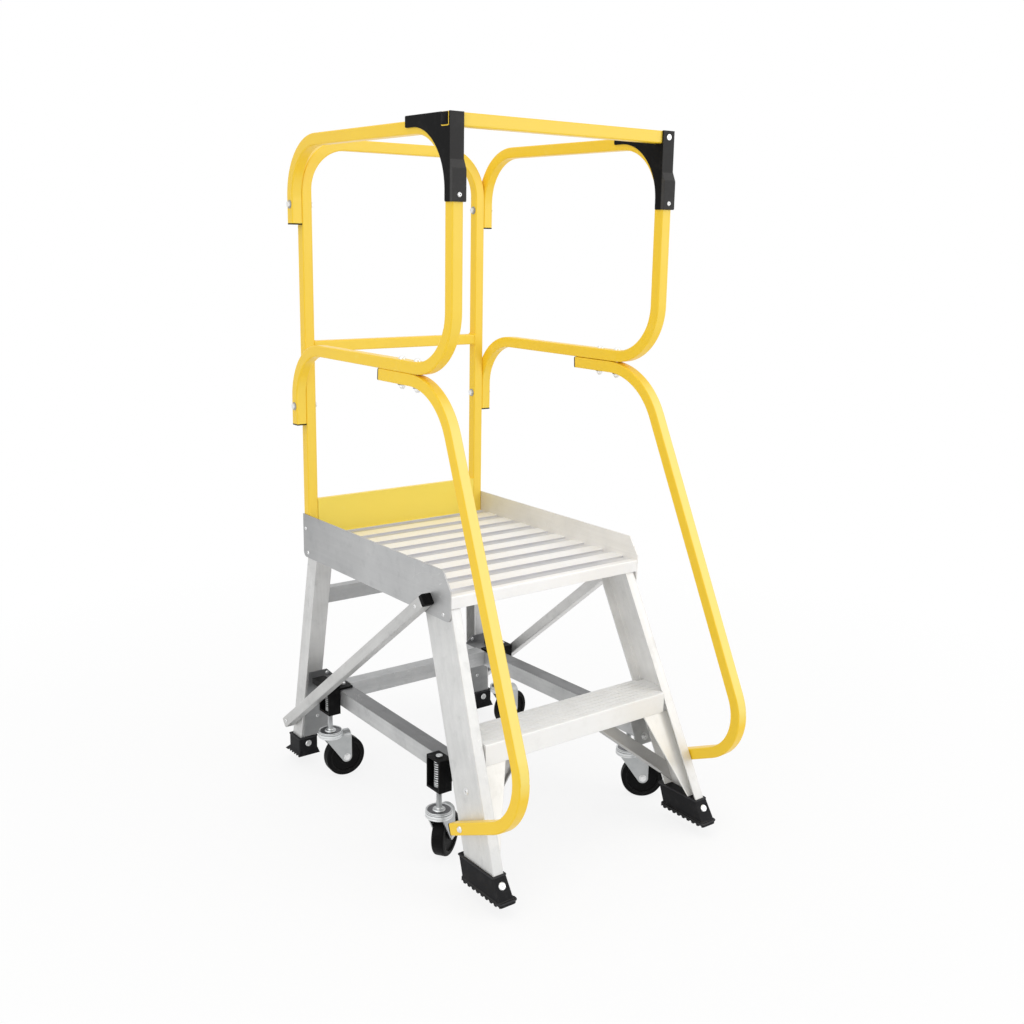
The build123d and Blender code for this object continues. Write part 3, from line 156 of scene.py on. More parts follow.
class Finish(Board):
    """One material: its surface shader and the point that its textures read."""

    def __init__(self, name, **surface):
        self.material = bpy.data.materials.new(name)
        super().__init__(self.material)
        self.shader = self.node("ShaderNodeBsdfPrincipled")
        self.output = self.node("ShaderNodeOutputMaterial", None, {0: self.shader})
        self.point = self.node("ShaderNodeTexCoord", output="Object")
        self.wear(**surface)

    def wear(self, **surface):
        """Sets sockets of the surface shader, with a space for each underscore in their names."""
        for key, value in surface.items():
            label = key.replace("_", " ").title().replace("Ior", "IOR")
            self.feed(self.shader.socket.node.inputs[label], value)

    def noise(self, scale, detail=2.0, rough=0.5, point=None):
        """Cloudy noise from 0 to 1; the scale is in patches to the metre."""
        inputs = {"Vector": point or self.point, "Scale": scale, "Detail": detail, "Roughness": rough}
        return self.node("ShaderNodeTexNoise", None, inputs)

    def blend(self, share, first, second):
        """A colour between two colours."""
        first, second = (colour if isinstance(colour, Value) else (*colour, 1) for colour in (first, second))
        return self.node("ShaderNodeMix", {"data_type": "RGBA"}, {0: share, 6: first, 7: second}, 2)

    def dot(self, first, second):
        """Dot product of two vectors."""
        settings = {"operation": "DOT_PRODUCT"}
        return self.node("ShaderNodeVectorMath", settings, {0: first, 1: second}, "Value")

    def reach(self, direction):
        """How far the point lies along a direction, in metres."""
        return self.dot(self.point, direction)

    def facing(self, direction):
        """1 where the surface faces a direction, and less where it turns away."""
        return self.dot(self.node("ShaderNodeNewGeometry", output="Normal"), direction)

    def drawn(self, direction, share):
        """The point squeezed along a direction, so that a texture runs in streaks that way."""
        way = Vector(direction).normalized()
        inputs = {0: way, "Scale": self.reach(way) * (share - 1)}
        shift = self.node("ShaderNodeVectorMath", {"operation": "SCALE"}, inputs)
        return self.node("ShaderNodeVectorMath", {"operation": "ADD"}, {0: self.point, 1: shift})

    def edges(self, radius):
        """Softened normal, and 1 where an edge is near."""
        flat_cosine, edge_cosine = 0.99, 0.86
        soft = self.node("ShaderNodeBevel", {"samples": 4}, {"Radius": radius})
        return soft, self.between(self.facing(soft), flat_cosine, edge_cosine)

    def relief(self, height, depth, strength, normal):
        """Bumps of a depth in metres, on top of softened edges."""
        inputs = {"Height": height, "Distance": depth, "Strength": strength, "Normal": normal}
        self.wear(normal=self.node("ShaderNodeBump", None, inputs))


def yellow_coat(name, deep, light, highlight_way, highlight_share):
    """Yellow powder coat: a fine orange peel, rubs on its edges, and a painted highlight of paler yellow on
    faces turned one way.
    """
    highlight_yellow, rubbed_yellow = (0.985, 0.79, 0.19), (0.97, 0.8, 0.22)
    coat = Finish(name, specular_ior_level=0.3)
    soft, edge = coat.edges(radius=0.0014)
    cloud = coat.noise(scale=6, detail=3)
    peel = coat.noise(scale=900)
    rub = coat.between(coat.noise(scale=30, detail=5, rough=0.7), 0.6, 0.75)
    rub = rub * coat.between(coat.noise(scale=8), 0.5, 0.66)
    # Painted highlight: faces turned one way are painted a paler yellow, in place of a lamp's sheen
    painted_highlight = coat.between(coat.facing(highlight_way), 0.85, 0.97) * highlight_share
    tone = coat.blend(painted_highlight, coat.blend(cloud, deep, light), highlight_yellow)
    worn = coat.between(rub * 0.4 + edge * (0.15 + rub), 0, 1)
    coat.wear(base_color=coat.blend(worn, tone, rubbed_yellow))
    coat.wear(roughness=0.3 + cloud * 0.1 + rub * 0.14, coat_weight=0.12 - rub * 0.1)
    coat.relief(peel, depth=0.0002, strength=0.4, normal=soft)
    return coat.material


def aluminium(name, grain, dull, bright, bare, shade=None):
    """Mill finish aluminium: drawn streaks, clouds, smudges and scratches, and dark past a shade's start."""
    shade_grey, scratch_grey = (0.1, 0.1, 0.105), (0.86, 0.86, 0.85)
    scratch_lean = Vector((0.35, 0.22, -0.3))
    metal = Finish(name, metallic=bare, specular_ior_level=0.5)
    soft, edge = metal.edges(radius=0.0011)
    fine = metal.noise(scale=900, detail=3, rough=0.6, point=metal.drawn(grain, 0.012))
    broad = metal.noise(scale=90, detail=3, rough=0.55, point=metal.drawn(grain, 0.03))
    cloud = metal.noise(scale=9, detail=6, rough=0.66)
    smudge = metal.between(metal.noise(scale=30, detail=5, rough=0.7), 0.54, 0.74)
    vein_way = Vector(grain) + scratch_lean
    vein = metal.noise(scale=60, detail=1, rough=0.4, point=metal.drawn(vein_way, 0.1))
    scratch = (abs(vein - 0.5) < 0.003) * metal.between(metal.noise(scale=5), 0.54, 0.62)
    tone = cloud * 0.6 + broad * 0.22 + fine * 0.16 - smudge * 0.12 + edge * 0.3
    colour = metal.blend(metal.between(tone, 0.28, 0.72), dull, bright)
    if shade:
        way, start, end, depth = shade
        shaded = metal.between(metal.reach(way), start, end) * depth
        colour = metal.blend(shaded, colour, shade_grey)
    metal.wear(base_color=metal.blend(scratch * 0.35, colour, scratch_grey))
    metal.wear(roughness=0.36 + fine * 0.1 + cloud * 0.12 + smudge * 0.1 - edge * 0.08)
    metal.relief(fine * 0.6 + scratch * -0.5, depth=0.00012, strength=0.5, normal=soft)
    return metal.material


def deck_tread():
    """Deck plank: pale worn lands with fine ribs, and duller troughs between them, painted lighter towards
    the side plates as if lit there.
    """
    groove_first, groove_pitch, groove_half, groove_edge = 0.0317, 0.0702, 0.0158, 0.0006
    nose_length, nose_edge, trough_depth, trough_edge = 0.0085, 0.001, 0.0075, 0.0005
    rib_half, rib_height = 0.0015, 0.9
    trough_light_start, trough_light_end, trough_light_share = 0.16, 0.245, 0.5
    pitches_ahead = 8
    smudge_grey = (0.66, 0.655, 0.64)
    low, high = box("deck")
    nose_end, trough_floor = low.y + nose_length, high.z - trough_depth
    tread = Finish("deck_tread", metallic=0.45)
    soft, edge = tread.edges(radius=0.001)
    place, height = tread.reach(along_deck), tread.reach(upright)
    along = place - (low.y + groove_first - pitches_ahead * groove_pitch)
    offset = along.folded(groove_pitch / 2)
    trough = tread.between(offset, groove_half + groove_edge, groove_half - groove_edge)
    trough = trough * tread.between(height, trough_floor - trough_edge, trough_floor + trough_edge)
    trough = trough * tread.between(place, nose_end - nose_edge, nose_end + nose_edge)
    rib = along.folded(rib_half) * (rib_height / rib_half)
    fine = tread.noise(scale=900, detail=3, rough=0.6, point=tread.drawn(across_deck, 0.012))
    cloud = tread.noise(scale=10, detail=6, rough=0.66)
    smudge = tread.between(tread.noise(scale=24, detail=5, rough=0.7), 0.5, 0.74)
    # Painted light: the troughs are painted lighter towards the side plates
    trough_light = tread.between(abs(tread.reach(across_deck)), trough_light_start, trough_light_end) * trough_light_share
    land = tread.blend(cloud, (0.9, 0.9, 0.905), (0.99, 0.99, 0.985))
    dull = tread.blend(fine, (0.53, 0.53, 0.555), (0.65, 0.65, 0.675))
    colour = tread.blend(trough * (1 - trough_light) * (0.85 + cloud * 0.2), land, dull)
    tread.wear(base_color=tread.blend(smudge * 0.16, colour, smudge_grey))
    tread.wear(roughness=0.4 + cloud * 0.14 + smudge * 0.12 - edge * 0.05)
    tread.relief(rib * (1 - trough) * 0.5 + fine * 0.5, depth=0.0003, strength=0.4, normal=soft)
    return tread.material


def step_tread():
    """Step: nearly white aluminium with a blasted grip on top and faint rubs on its front."""
    rubbed_grey, grit_grey = (0.7, 0.69, 0.66), (0.6, 0.6, 0.6)
    grip_depth, grip_edge = 0.002, 0.0005
    grip_floor = box("step")[1].z - grip_depth
    tread = Finish("step_tread", metallic=0.35)
    soft, edge = tread.edges(radius=0.0012)
    grit = tread.between(tread.noise(scale=420, detail=3, rough=0.7), 0.45, 0.7)
    cloud = tread.noise(scale=12, detail=6, rough=0.66)
    streak = tread.noise(scale=140, detail=3, rough=0.55, point=tread.drawn(across_deck, 0.03))
    smudge = tread.between(tread.noise(scale=20, detail=5, rough=0.72), 0.52, 0.72)
    top = tread.between(tread.reach(upright), grip_floor, grip_floor + grip_edge)
    land = tread.blend(cloud, (0.9, 0.9, 0.895), (0.99, 0.99, 0.98))
    rubbed = tread.blend(smudge * 0.22 + streak * 0.1, land, rubbed_grey)
    tread.wear(base_color=tread.blend(top * grit * 0.1, rubbed, grit_grey))
    tread.wear(roughness=0.42 + cloud * 0.12 + top * 0.14 - edge * 0.06)
    tread.relief(top * grit + streak * 0.15, depth=0.00025, strength=0.5, normal=soft)
    return tread.material


def black_moulding(name, depth, dust, rubbed, edge_size, front_light_and_shade=()):
    """Moulded black plastic or rubber: a pebbled skin, dust, edges painted lighter as a highlight, and
    painted light and shade on front faces if given.
    """
    dust_and_highlight_grey = (0.08, 0.078, 0.077)
    skin = Finish(name, specular_ior_level=0.1)
    soft, edge = skin.edges(edge_size)
    grain = skin.noise(scale=1500, rough=0.6)
    cloud = skin.noise(scale=40, detail=4, rough=0.65)
    # Dust, and edges painted lighter by the rubbed share as a painted highlight
    worn = skin.between(cloud, 0.52, 0.78) * dust + edge * rubbed
    # Painted highlight and shade on faces by how far forward they stand
    for start, end, share in front_light_and_shade:
        worn = worn + skin.between(skin.reach(forward), start, end) * (share + cloud * 0.1)
    skin.wear(base_color=skin.blend(skin.between(worn, 0, 1), (depth, depth, depth * 1.1), dust_and_highlight_grey))
    skin.wear(roughness=0.42 + grain * 0.1 + cloud * 0.16 - edge * 0.08)
    skin.relief(grain, depth=0.00025, strength=0.5, normal=soft)
    return skin.material


def zinc_plate(name, low, high, edge_size, painted_edge_tone, bands=()):
    """Zinc plate with a fine spangle, edges painted in a tone of their own, dark as a painted shadow line on
    some pieces and pale as a painted glint on others, and darker bands between heights if given.
    """
    band_edge = 0.0002
    plate = Finish(name, metallic=0.85)
    soft, edge = plate.edges(edge_size)
    cells = plate.node("ShaderNodeTexVoronoi", None, {"Vector": plate.point, "Scale": 900.0}, "Color")
    level = plate.node("ShaderNodeSeparateColor", None, {0: cells})
    cloud = plate.noise(scale=25, detail=4, rough=0.6)
    tone = plate.between(cloud * 0.7 + level * 0.1, 0.15, 0.65)
    # Edges painted in their own tone: a painted shadow line where dark, a painted glint where pale
    colour = plate.blend(edge * 0.75, plate.blend(tone, low, high), (painted_edge_tone, painted_edge_tone, painted_edge_tone))
    height = plate.reach(upright)
    for bottom, top, dark in bands:
        band = plate.between(height, bottom - band_edge, bottom + band_edge)
        band = band * plate.between(height, top + band_edge, top - band_edge)
        colour = plate.blend(band, colour, (dark, dark, dark * 1.05))
    plate.wear(base_color=colour)
    plate.wear(roughness=0.3 + cloud * 0.1 + level * 0.04)
    plate.relief(cloud, depth=0.00003, strength=0.2, normal=soft)
    return plate.material


def dress(material, *names):
    """Puts one finish on CAD nodes."""
    for name in names:
        mesh = nodes[name].data
        mesh.materials.clear()
        mesh.materials.append(material)


def pair(name):
    """Names of the left and right nodes of a kind."""
    return [f"{name}_{side}" for side in sides]


def four(name):
    """Names of the nodes of a kind at the four casters."""
    return [f"{name}_{corner}" for corner in caster_corners]


# Yellow pieces, with a painted highlight on faces turned forward, strongest on the handrails
tube_deep, tube_light = (0.95, 0.61, 0.024), (0.985, 0.67, 0.036)
yellow = yellow_coat("yellow_coat", tube_deep, tube_light, forward, highlight_share=0.3)
handrail_yellow = yellow_coat("handrail_yellow", tube_deep, tube_light, handrail_front_way, highlight_share=0.95)
# Painted light: the kick board gets a lighter copy of the yellow, as if more brightly lit
lit_board_yellow = yellow_coat("lit_board_yellow", (0.98, 0.73, 0.07), (1.0, 0.79, 0.1), forward, highlight_share=0.3)
dress(yellow, "rear_frame", "mid_rail", *pair("side_rail"), "gate_bar")
dress(handrail_yellow, *pair("handrail"))
dress(lit_board_yellow, "kick_board")

# Bare aluminium pieces, with tones set piece by piece to the light and shade each takes; a painted shade is
# a direction, its start and end along that, and its depth
dress(deck_tread(), "deck")
dress(step_tread(), "step")
rail_top = box("base_rail_r")[1].z
left_shade = (along_deck, 0.1, 0.5, 0.3)
right_shade = (along_deck, -0.12, 0.4, 0.25)
stile_shade = (stile_front_way, -0.429, -0.43, 0.1)
strap_shade = (stile_front_way, -0.38, -0.36, 0.5)
rail_shade = (upright, rail_top - 0.0007, rail_top - 0.0003, 0.66)
gusset_shade = (upright, 0.19, 0.215, 0.6)
cross_members = ["rear_lower_cross", "rear_upper_cross"]
# Painted light and shade: left and right copies of one aluminium differ by how each side is lit, the left
# ones painted shaded and the right ones lit
for name, grain, dull, bright, bare, shade, wearers in (
    ("shaded_left_plate", along_deck, (0.44, 0.445, 0.45), (0.6, 0.605, 0.605), 0.7, left_shade, ["side_plate_l"]),
    ("lit_right_plate", along_deck, (0.82, 0.81, 0.79), (1.0, 0.99, 0.97), 0.3, right_shade, ["side_plate_r"]),
    ("shaded_left_stile", stile_way, (0.6, 0.605, 0.6), (0.84, 0.84, 0.83), 0.7, stile_shade, ["front_stile_l"]),
    ("lit_right_stile", stile_way, (0.72, 0.715, 0.7), (0.95, 0.945, 0.93), 0.5, stile_shade, ["front_stile_r"]),
    ("left_knee", stile_way, (0.78, 0.77, 0.74), (0.95, 0.94, 0.91), 0.42, strap_shade, ["knee_brace_l"]),
    ("right_knee", stile_way, (0.82, 0.81, 0.78), (0.98, 0.97, 0.94), 0.4, strap_shade, ["knee_brace_r"]),
    ("leg_metal", leg_way, (0.54, 0.54, 0.535), (0.78, 0.78, 0.77), 0.7, None, pair("rear_leg")),
    ("rail_metal", along_deck, (0.42, 0.425, 0.43), (0.68, 0.685, 0.68), 0.7, rail_shade, pair("base_rail")),
    ("gusset", across_deck, (0.28, 0.285, 0.29), (0.44, 0.445, 0.445), 0.7, gusset_shade, ["leg_plates"]),
    ("cross_metal", across_deck, (0.38, 0.385, 0.39), (0.58, 0.585, 0.585), 0.7, None, cross_members),
    ("left_brace", brace_way, (0.48, 0.48, 0.475), (0.7, 0.7, 0.69), 0.7, None, ["diagonal_brace_l"]),
    ("right_brace", brace_way, (0.62, 0.615, 0.605), (0.86, 0.855, 0.84), 0.7, None, ["diagonal_brace_r"]),
):
    dress(aluminium(name, grain, dull, bright, bare, shade), *wearers)

# Black pieces; front light and shade is its start and end forward, and its share, a painted highlight where
# positive and painted shade where negative
recess_depth = 0.0088
bracket_front = -box("corner_bracket_r")[0].y
bracket_recess = bracket_front - recess_depth
bracket_light_and_shade = [
    (bracket_recess - 0.0015, bracket_recess, 0.4),
    (bracket_recess + 0.0006, bracket_recess + 0.0012, 0.25),
    (bracket_front - 0.0014, bracket_front - 0.0008, -0.25),
]
black = black_moulding("black_moulding", 0.0025, dust=0.15, rubbed=0.3, edge_size=0.0015)
bracket_black = black_moulding(
    "bracket_black", 0.0025, dust=0.12, rubbed=0.3, edge_size=0.002, front_light_and_shade=bracket_light_and_shade
)
boot_rubber = black_moulding("boot_rubber", 0.014, dust=0.2, rubbed=0.7, edge_size=0.0035)
# Painted highlight: the boots' beads get a lighter rubber, as where they catch the light
lit_rim_rubber = black_moulding("lit_rim_rubber", 0.04, dust=0.4, rubbed=0.3, edge_size=0.001)
tyre = black_moulding("wheel_rubber", 0.0025, dust=0.1, rubbed=0.35, edge_size=0.0025)
dress(black, "rail_end_caps", "gate_plug", "brace_caps", *four("spring_housing"))
dress(bracket_black, *pair("corner_bracket"))
dress(boot_rubber, *pair("front_boot"), *pair("rear_boot"))
dress(tyre, *four("wheel"))

# Plated steel pieces; a band is its bottom and top, and how dark it is
collar_top = box("spring_front_l")[0].z
housing_top = box("spring_housing_front_l")[1].z
race_floor = 0.121
# The rod is darker inside the spring and housing, with a thin darker line at the race's floor
dark_rod_band = (collar_top + 0.0002, housing_top, 0.025)
race_dark_line = (race_floor - 0.0004, race_floor + 0.0005, 0.16)
rod_bands = [dark_rod_band, race_dark_line]
# Painted shade: the forks' zinc is set darker, as they stand in shade
zinc = zinc_plate("zinc_plate", (0.37, 0.385, 0.39), (0.54, 0.55, 0.55), 0.0008, painted_edge_tone=0.7)
rod_zinc = zinc_plate(
    "rod_zinc", (0.58, 0.6, 0.61), (0.82, 0.83, 0.83), 0.0006, painted_edge_tone=0.85, bands=rod_bands
)
cup_zinc = zinc_plate("cup_zinc", (0.62, 0.64, 0.65), (0.88, 0.89, 0.89), 0.0006, painted_edge_tone=0.3)
# Painted shadow: washers get a dark zinc, as the shadow line round the bolt heads
washer_zinc = zinc_plate("washer_zinc", (0.25, 0.255, 0.26), (0.48, 0.485, 0.485), 0.0006, painted_edge_tone=0.12)
bolt_zinc = zinc_plate("bolt_zinc", (0.66, 0.67, 0.68), (0.97, 0.97, 0.96), 0.0008, painted_edge_tone=0.1)
coil_steel = zinc_plate("spring_steel", (0.7, 0.72, 0.73), (0.95, 0.955, 0.95), 0.0004, painted_edge_tone=0.9)
dress(zinc, *four("caster_stem"), *four("fork"))
dress(bolt_zinc, "gate_pin", "rail_bolts", "handrail_bolts", "housing_bolts", "rivets")
dress(coil_steel, *four("spring"))


def piece(name, shape, material, body):
    """Smooth piece of a shape's points and faces, with touching points joined, which moves with a body."""
    touching = 1e-6
    points, faces = shape
    mesh = bpy.data.meshes.new(name)
    mesh.from_pydata(points, [], faces)
    shell = bmesh.new()
    shell.from_mesh(mesh)
    bmesh.ops.remove_doubles(shell, verts=shell.verts, dist=touching)
    shell.to_mesh(mesh)
    shell.free()
    mesh.shade_smooth()
    mesh.materials.append(material)
    made = bpy.data.objects.new(name, mesh)
    bpy.context.scene.collection.objects.link(made)
    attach(made, body)
    return made


def gather(shapes):
    """Several shapes as one set of points and faces."""
    points, faces = [], []
    for more_points, more_faces in shapes:
        faces += [tuple(len(points) + corner for corner in face) for face in more_faces]
        points += more_points
    return points, faces


def side_ways(way):
    """Two directions square to a direction."""
    steep = 0.9
    first = way.cross(Vector(across_deck if abs(way.z) > steep else upright)).normalized()
    return first, way.cross(first)


def rings(total, count, closed=False):
    """Faces that join rings of points, each to the next one, and the last to the first if closed."""
    faces = []
    for ring in range(total if closed else total - 1):
        low, high = ring * count, (ring + 1) % total * count
        for i in range(count):
            after = (i + 1) % count
            faces.append((low + i, low + after, high + after, high + i))
    return faces


def turned(outline, place, way, count=32):
    """Shape of an outline, in millimetres out from an axis and along it, turned about the axis."""
    way = Vector(way).normalized()
    across, up = side_ways(way)
    points = []
    for out, along in outline:
        for i in range(count):
            turn = math.tau * i / count
            spoke = across * math.cos(turn) + up * math.sin(turn)
            points.append(Vector(place) + (way * along + spoke * out) * millimetre)
    return points, rings(len(outline), count)


def wire(line, thick, count=10, closed=False):
    """Shape of a round wire along a line; thick gives its radius at each point."""
    points = []
    total = len(line)
    across = None
    for i, place in enumerate(line):
        before = line[i - 1] if i or closed else line[0]
        after = line[(i + 1) % total] if i + 1 < total or closed else line[-1]
        way = (after - before).normalized()
        across = (across - way * across.dot(way)).normalized() if across else side_ways(way)[0]
        up = way.cross(across)
        for k in range(count):
            turn = math.tau * k / count
            points.append(place + (across * math.cos(turn) + up * math.sin(turn)) * thick(i))
    faces = rings(total, count, closed)
    if not closed:
        faces.append(tuple(range(count))[::-1])
        faces.append(tuple((total - 1) * count + k for k in range(count)))
    return points, faces


def rounded(corners, steps=4):
    """Outline through corners (x, y, cut), with a curve in place of the last cut beside each corner."""
    points = []
    for i, (x, y, cut) in enumerate(corners):
        corner = Vector((x, y))
        before, after = Vector(corners[i - 1][:2]), Vector(corners[(i + 1) % len(corners)][:2])
        start = corner + (before - corner).normalized() * cut
        end = corner + (after - corner).normalized() * cut
        for k in range(steps + 1 if cut else 1):
            share = k / steps
            points.append(start.lerp(corner, share).lerp(corner.lerp(end, share), share))
    return points


def washer(inner, outer, low, high, eased=0.3):
    """Outline of a washer or nut with eased outer edges."""
    return rounded([(inner, low, 0), (outer, low, eased), (outer, high, eased), (inner, high, 0)], steps=2)


def dome(radius, low, shoulder, top, steps=6):
    """Outline of a domed head."""
    turns = [math.tau / 4 * k / steps for k in range(steps + 1)]
    rise = top - shoulder
    return [(radius, low)] + [(radius * math.cos(turn), shoulder + rise * math.sin(turn)) for turn in turns]


def moulded_ring(out, along, half=1.2, rise=0.75, sunk=0.2, steps=4):
    """Outline of a raised ring on the wheel's face."""
    turns = [math.pi * k / steps for k in range(steps + 1)]
    return [(out + half * math.cos(turn), along - sunk + rise * math.sin(turn)) for turn in turns]


def spring_coil(corner):
    """Compression spring with closed end turns."""
    turns, steps, wire_radius, coil_radius = 12, 28, 0.0012, 0.01
    flat_turns, ramp_turns, flat_rise, open_rise = 0.7, 0.5, 0.45, 1.2
    low, high = box(f"spring_{corner}")
    centre = middle(f"spring_{corner}")
    rises = []
    for i in range(turns * steps):
        to_end = min(i, turns * steps - 1 - i) / steps
        opened = min(1, max(0, (to_end - flat_turns) / ramp_turns))
        rises.append(flat_rise + (open_rise - flat_rise) * opened)
    climb = (high.z - low.z - 2 * wire_radius) / sum(rises)
    height = low.z + wire_radius
    line = []
    for i, rise in enumerate([*rises, 0]):
        turn = math.tau * i / steps
        spoke = Vector((math.cos(turn), math.sin(turn), 0)) * coil_radius
        line.append(Vector((centre.x, centre.y, height)) + spoke)
        height += climb * rise
    shape = wire(line, lambda i: wire_radius, count=14)
    coil = piece(f"coil_{corner}", shape, coil_steel, "frame")
    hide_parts(f"spring_{corner}")
    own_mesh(coil)


# Outlines of the stem and the cup, in millimetres out from the swivel's axis and above the floor
kingpin = [(0, 101.6, 0), (9.0, 101.6, 1.3), (9.0, 105.6, 0.4), (6.0, 105.6, 0), (6.0, 116.9, 0)]
race = [(29.0, 116.9, 1.6), (29.0, 122.9, 1.5), (26.2, 122.9, 1.0), (25.0, 121.1, 0.8), (14.4, 121.0, 0.6)]
stem_foot = [(12.8, 123.9, 0.8), (7.6, 124.0, 0.9), (6.35, 127.4, 0.9)]
collar = [(6.35, 175.3, 0), (11.2, 175.3, 0.4), (11.2, 178.8, 0.4), (6.35, 178.8, 0), (6.35, 243.3, 0)]
stem_head = [(7.2, 243.3, 0.4), (7.2, 246.3, 1.4), (3.0, 246.3, 0.4), (2.6, 245.5, 0.4), (0, 245.5, 0)]
lower_lip = [(28.2, 106.6, 0), (29.8, 106.4, 1.0), (29.8, 109.3, 1.1), (28.6, 110.5, 0.6)]
upper_lip = [(29.7, 111.6, 0.7), (29.7, 116.45, 1.5), (27.0, 116.45, 0)]
stem_outline = rounded(kingpin + race + stem_foot + collar + stem_head)
cup_outline = rounded(lower_lip + upper_lip)

# Outlines of the axle's ends and the wheel's rings, in millimetres out from the axle and along it
axle_washer = washer(inner=6.3, outer=9.0, low=18.0, high=19.1)
axle_cap = dome(radius=6.6, low=19.0, shoulder=21.3, top=23.0)
ring_places = ((20.0, 10.0), (34.0, 10.0), (40.5, 14.0))
wheel_outlines = [moulded_ring(out, along) for out, along in ring_places]


def caster(corner):
    """Stem with its rolled upper race, the fork's lower cup and axle ends, and the wheel's moulded rings."""
    centre = Vector((*joints[f"swivel_{corner}"]["pos_m"][:2], 0))
    spin = joints[f"wheel_spin_{corner}"]
    axle, way = Vector(spin["pos_m"]), Vector(spin["axis"])
    faces = (way, -way)
    stem_shape = turned(stem_outline, centre, upright, count=48)
    stem = piece(f"stem_{corner}", stem_shape, rod_zinc, f"stem_{corner}")
    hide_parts(f"caster_stem_{corner}")
    cup_shape = turned(cup_outline, centre, upright, count=48)
    piece(f"swivel_cup_{corner}", cup_shape, cup_zinc, f"fork_{corner}")
    ends = [turned(outline, axle, face) for outline in (axle_washer, axle_cap) for face in faces]
    piece(f"axle_ends_{corner}", gather(ends), bolt_zinc, f"fork_{corner}")
    beads = [turned(outline, axle, face, count=64) for face in faces for outline in wheel_outlines]
    piece(f"wheel_rings_{corner}", gather(beads), tyre, f"wheel_{corner}")


def bolt_trim():
    """Washers of the rail and handrail bolts, and domed heads of the handrail bolts and stile rivets."""
    flat_washer = washer(inner=5.6, outer=9.5, low=0, high=1.3)
    bolt_dome = dome(radius=7.6, low=0, shoulder=1.2, top=6.2)
    rivet_head = rounded([(4.2, 0, 0), (7.4, 0, 0.2), (7.4, 1.5, 1.2), (4.2, 1.2, 0)])
    handrail_bolts = ((-0.08079, 1.01164), (-0.02279, 1.0131))  # along the deck, and the tube's underside
    rivet_x, rivet_y, rivet_z = 0.28525, -0.28478, 0.213
    web_x, web_y, web_z = stile_web_way
    low, high = box("rail_bolts")
    head_radius = (high.y - low.y) / 2
    rail_y = middle("rail_bolts").y
    rail_x = middle("side_rail_r").x
    outer_face, inner_face = box("side_rail_r")[1].x, box("mid_rail")[1].x
    low_run_top = box("mid_rail")[1].z  # the side guards' lower runs are level with the middle rail
    washers, heads = [], []
    for side in sides.values():
        for height in (high.z - head_radius, low.z + head_radius):
            washers.append(turned(flat_washer, (side * outer_face, rail_y, height), (side, 0, 0)))
            washers.append(turned(flat_washer, (side * inner_face, rail_y, height), (-side, 0, 0)))
        for along, under in handrail_bolts:
            washers.append(turned(flat_washer, (side * rail_x, along, under), (0, 0, -1)))
            heads.append(turned(bolt_dome, (side * rail_x, along, low_run_top), upright))
        rivet_way = (side * web_x, web_y, web_z)
        heads.append(turned(rivet_head, (side * rivet_x, rivet_y, rivet_z), rivet_way))
    piece("bolt_washers", gather(washers), washer_zinc, "frame")
    piece("bolt_domes", gather(heads), bolt_zinc, "frame")


def cleat_nuts():
    """Hexagon nuts on washers, with a bolt end, on the front of the base rails' cleats."""
    cleat_x, cleat_y, cleat_z = 0.2468, -0.2478, 0.1853
    nut_washer = washer(inner=3.2, outer=8.9, low=0, high=1.4)
    nut = washer(inner=3.2, outer=7.0, low=1.4, high=6.2, eased=0.6)
    bolt_end = rounded([(3.1, 1.4, 0), (3.1, 9.2, 0.6), (0, 9.2, 0)])
    shapes = []
    for side in sides.values():
        place = (side * cleat_x, cleat_y, cleat_z)
        for outline, count in ((nut_washer, 32), (nut, 6), (bolt_end, 24)):
            shapes.append(turned(outline, place, cleat_way, count))
    piece("cleat_nuts", gather(shapes), bolt_zinc, "frame")


def boot_rims():
    """Moulded beads round the top edges of the boots, and round the toes of the front ones."""
    bead_radius, lip_drop, lip_round = 0.0019, 0.0013, 0.003
    toe_rise, toe_round, toe_length = 0.0075, 0.008, 0.012
    front_inner, front_outer, front_toe = 0.00727, 0.00523, 0.02978
    rear_inset, rear_heel = 0.004, 0.017
    front_low, front_high = box("front_boot_r")
    rear_low, rear_high = box("rear_boot_r")

    def loop(inner, outer, front, back, cut, back_cut):
        """Outline of a bead round a boot."""
        outer_corners = [(outer, back, back_cut), (outer, front, cut)]
        inner_corners = [(inner, front, cut), (inner, back, back_cut)]
        return rounded(outer_corners + inner_corners, steps=6)

    front_sides = (front_low.x + front_inner, front_high.x - front_outer)
    front_lip = loop(*front_sides, front_low.y + front_toe, front_high.y, lip_round, lip_round)
    rear_sides = (rear_low.x + rear_inset, rear_high.x - rear_inset)
    rear_lip = loop(*rear_sides, rear_low.y + rear_inset, rear_high.y - rear_heel, lip_round, lip_round)
    toe = loop(front_low.x, front_high.x, front_low.y, front_low.y + toe_length, toe_round, 0)
    shapes = []
    for side in sides.values():
        for line, height, closed in (
            (front_lip, front_high.z - lip_drop, True),
            (rear_lip, rear_high.z - lip_drop, True),
            (toe, front_low.z + toe_rise, False),
        ):
            path = [Vector((side * x, y, height)) for x, y in line]
            shapes.append(wire(path, lambda i: bead_radius, closed=closed))
    piece("boot_rims", gather(shapes), lit_rim_rubber, "frame")


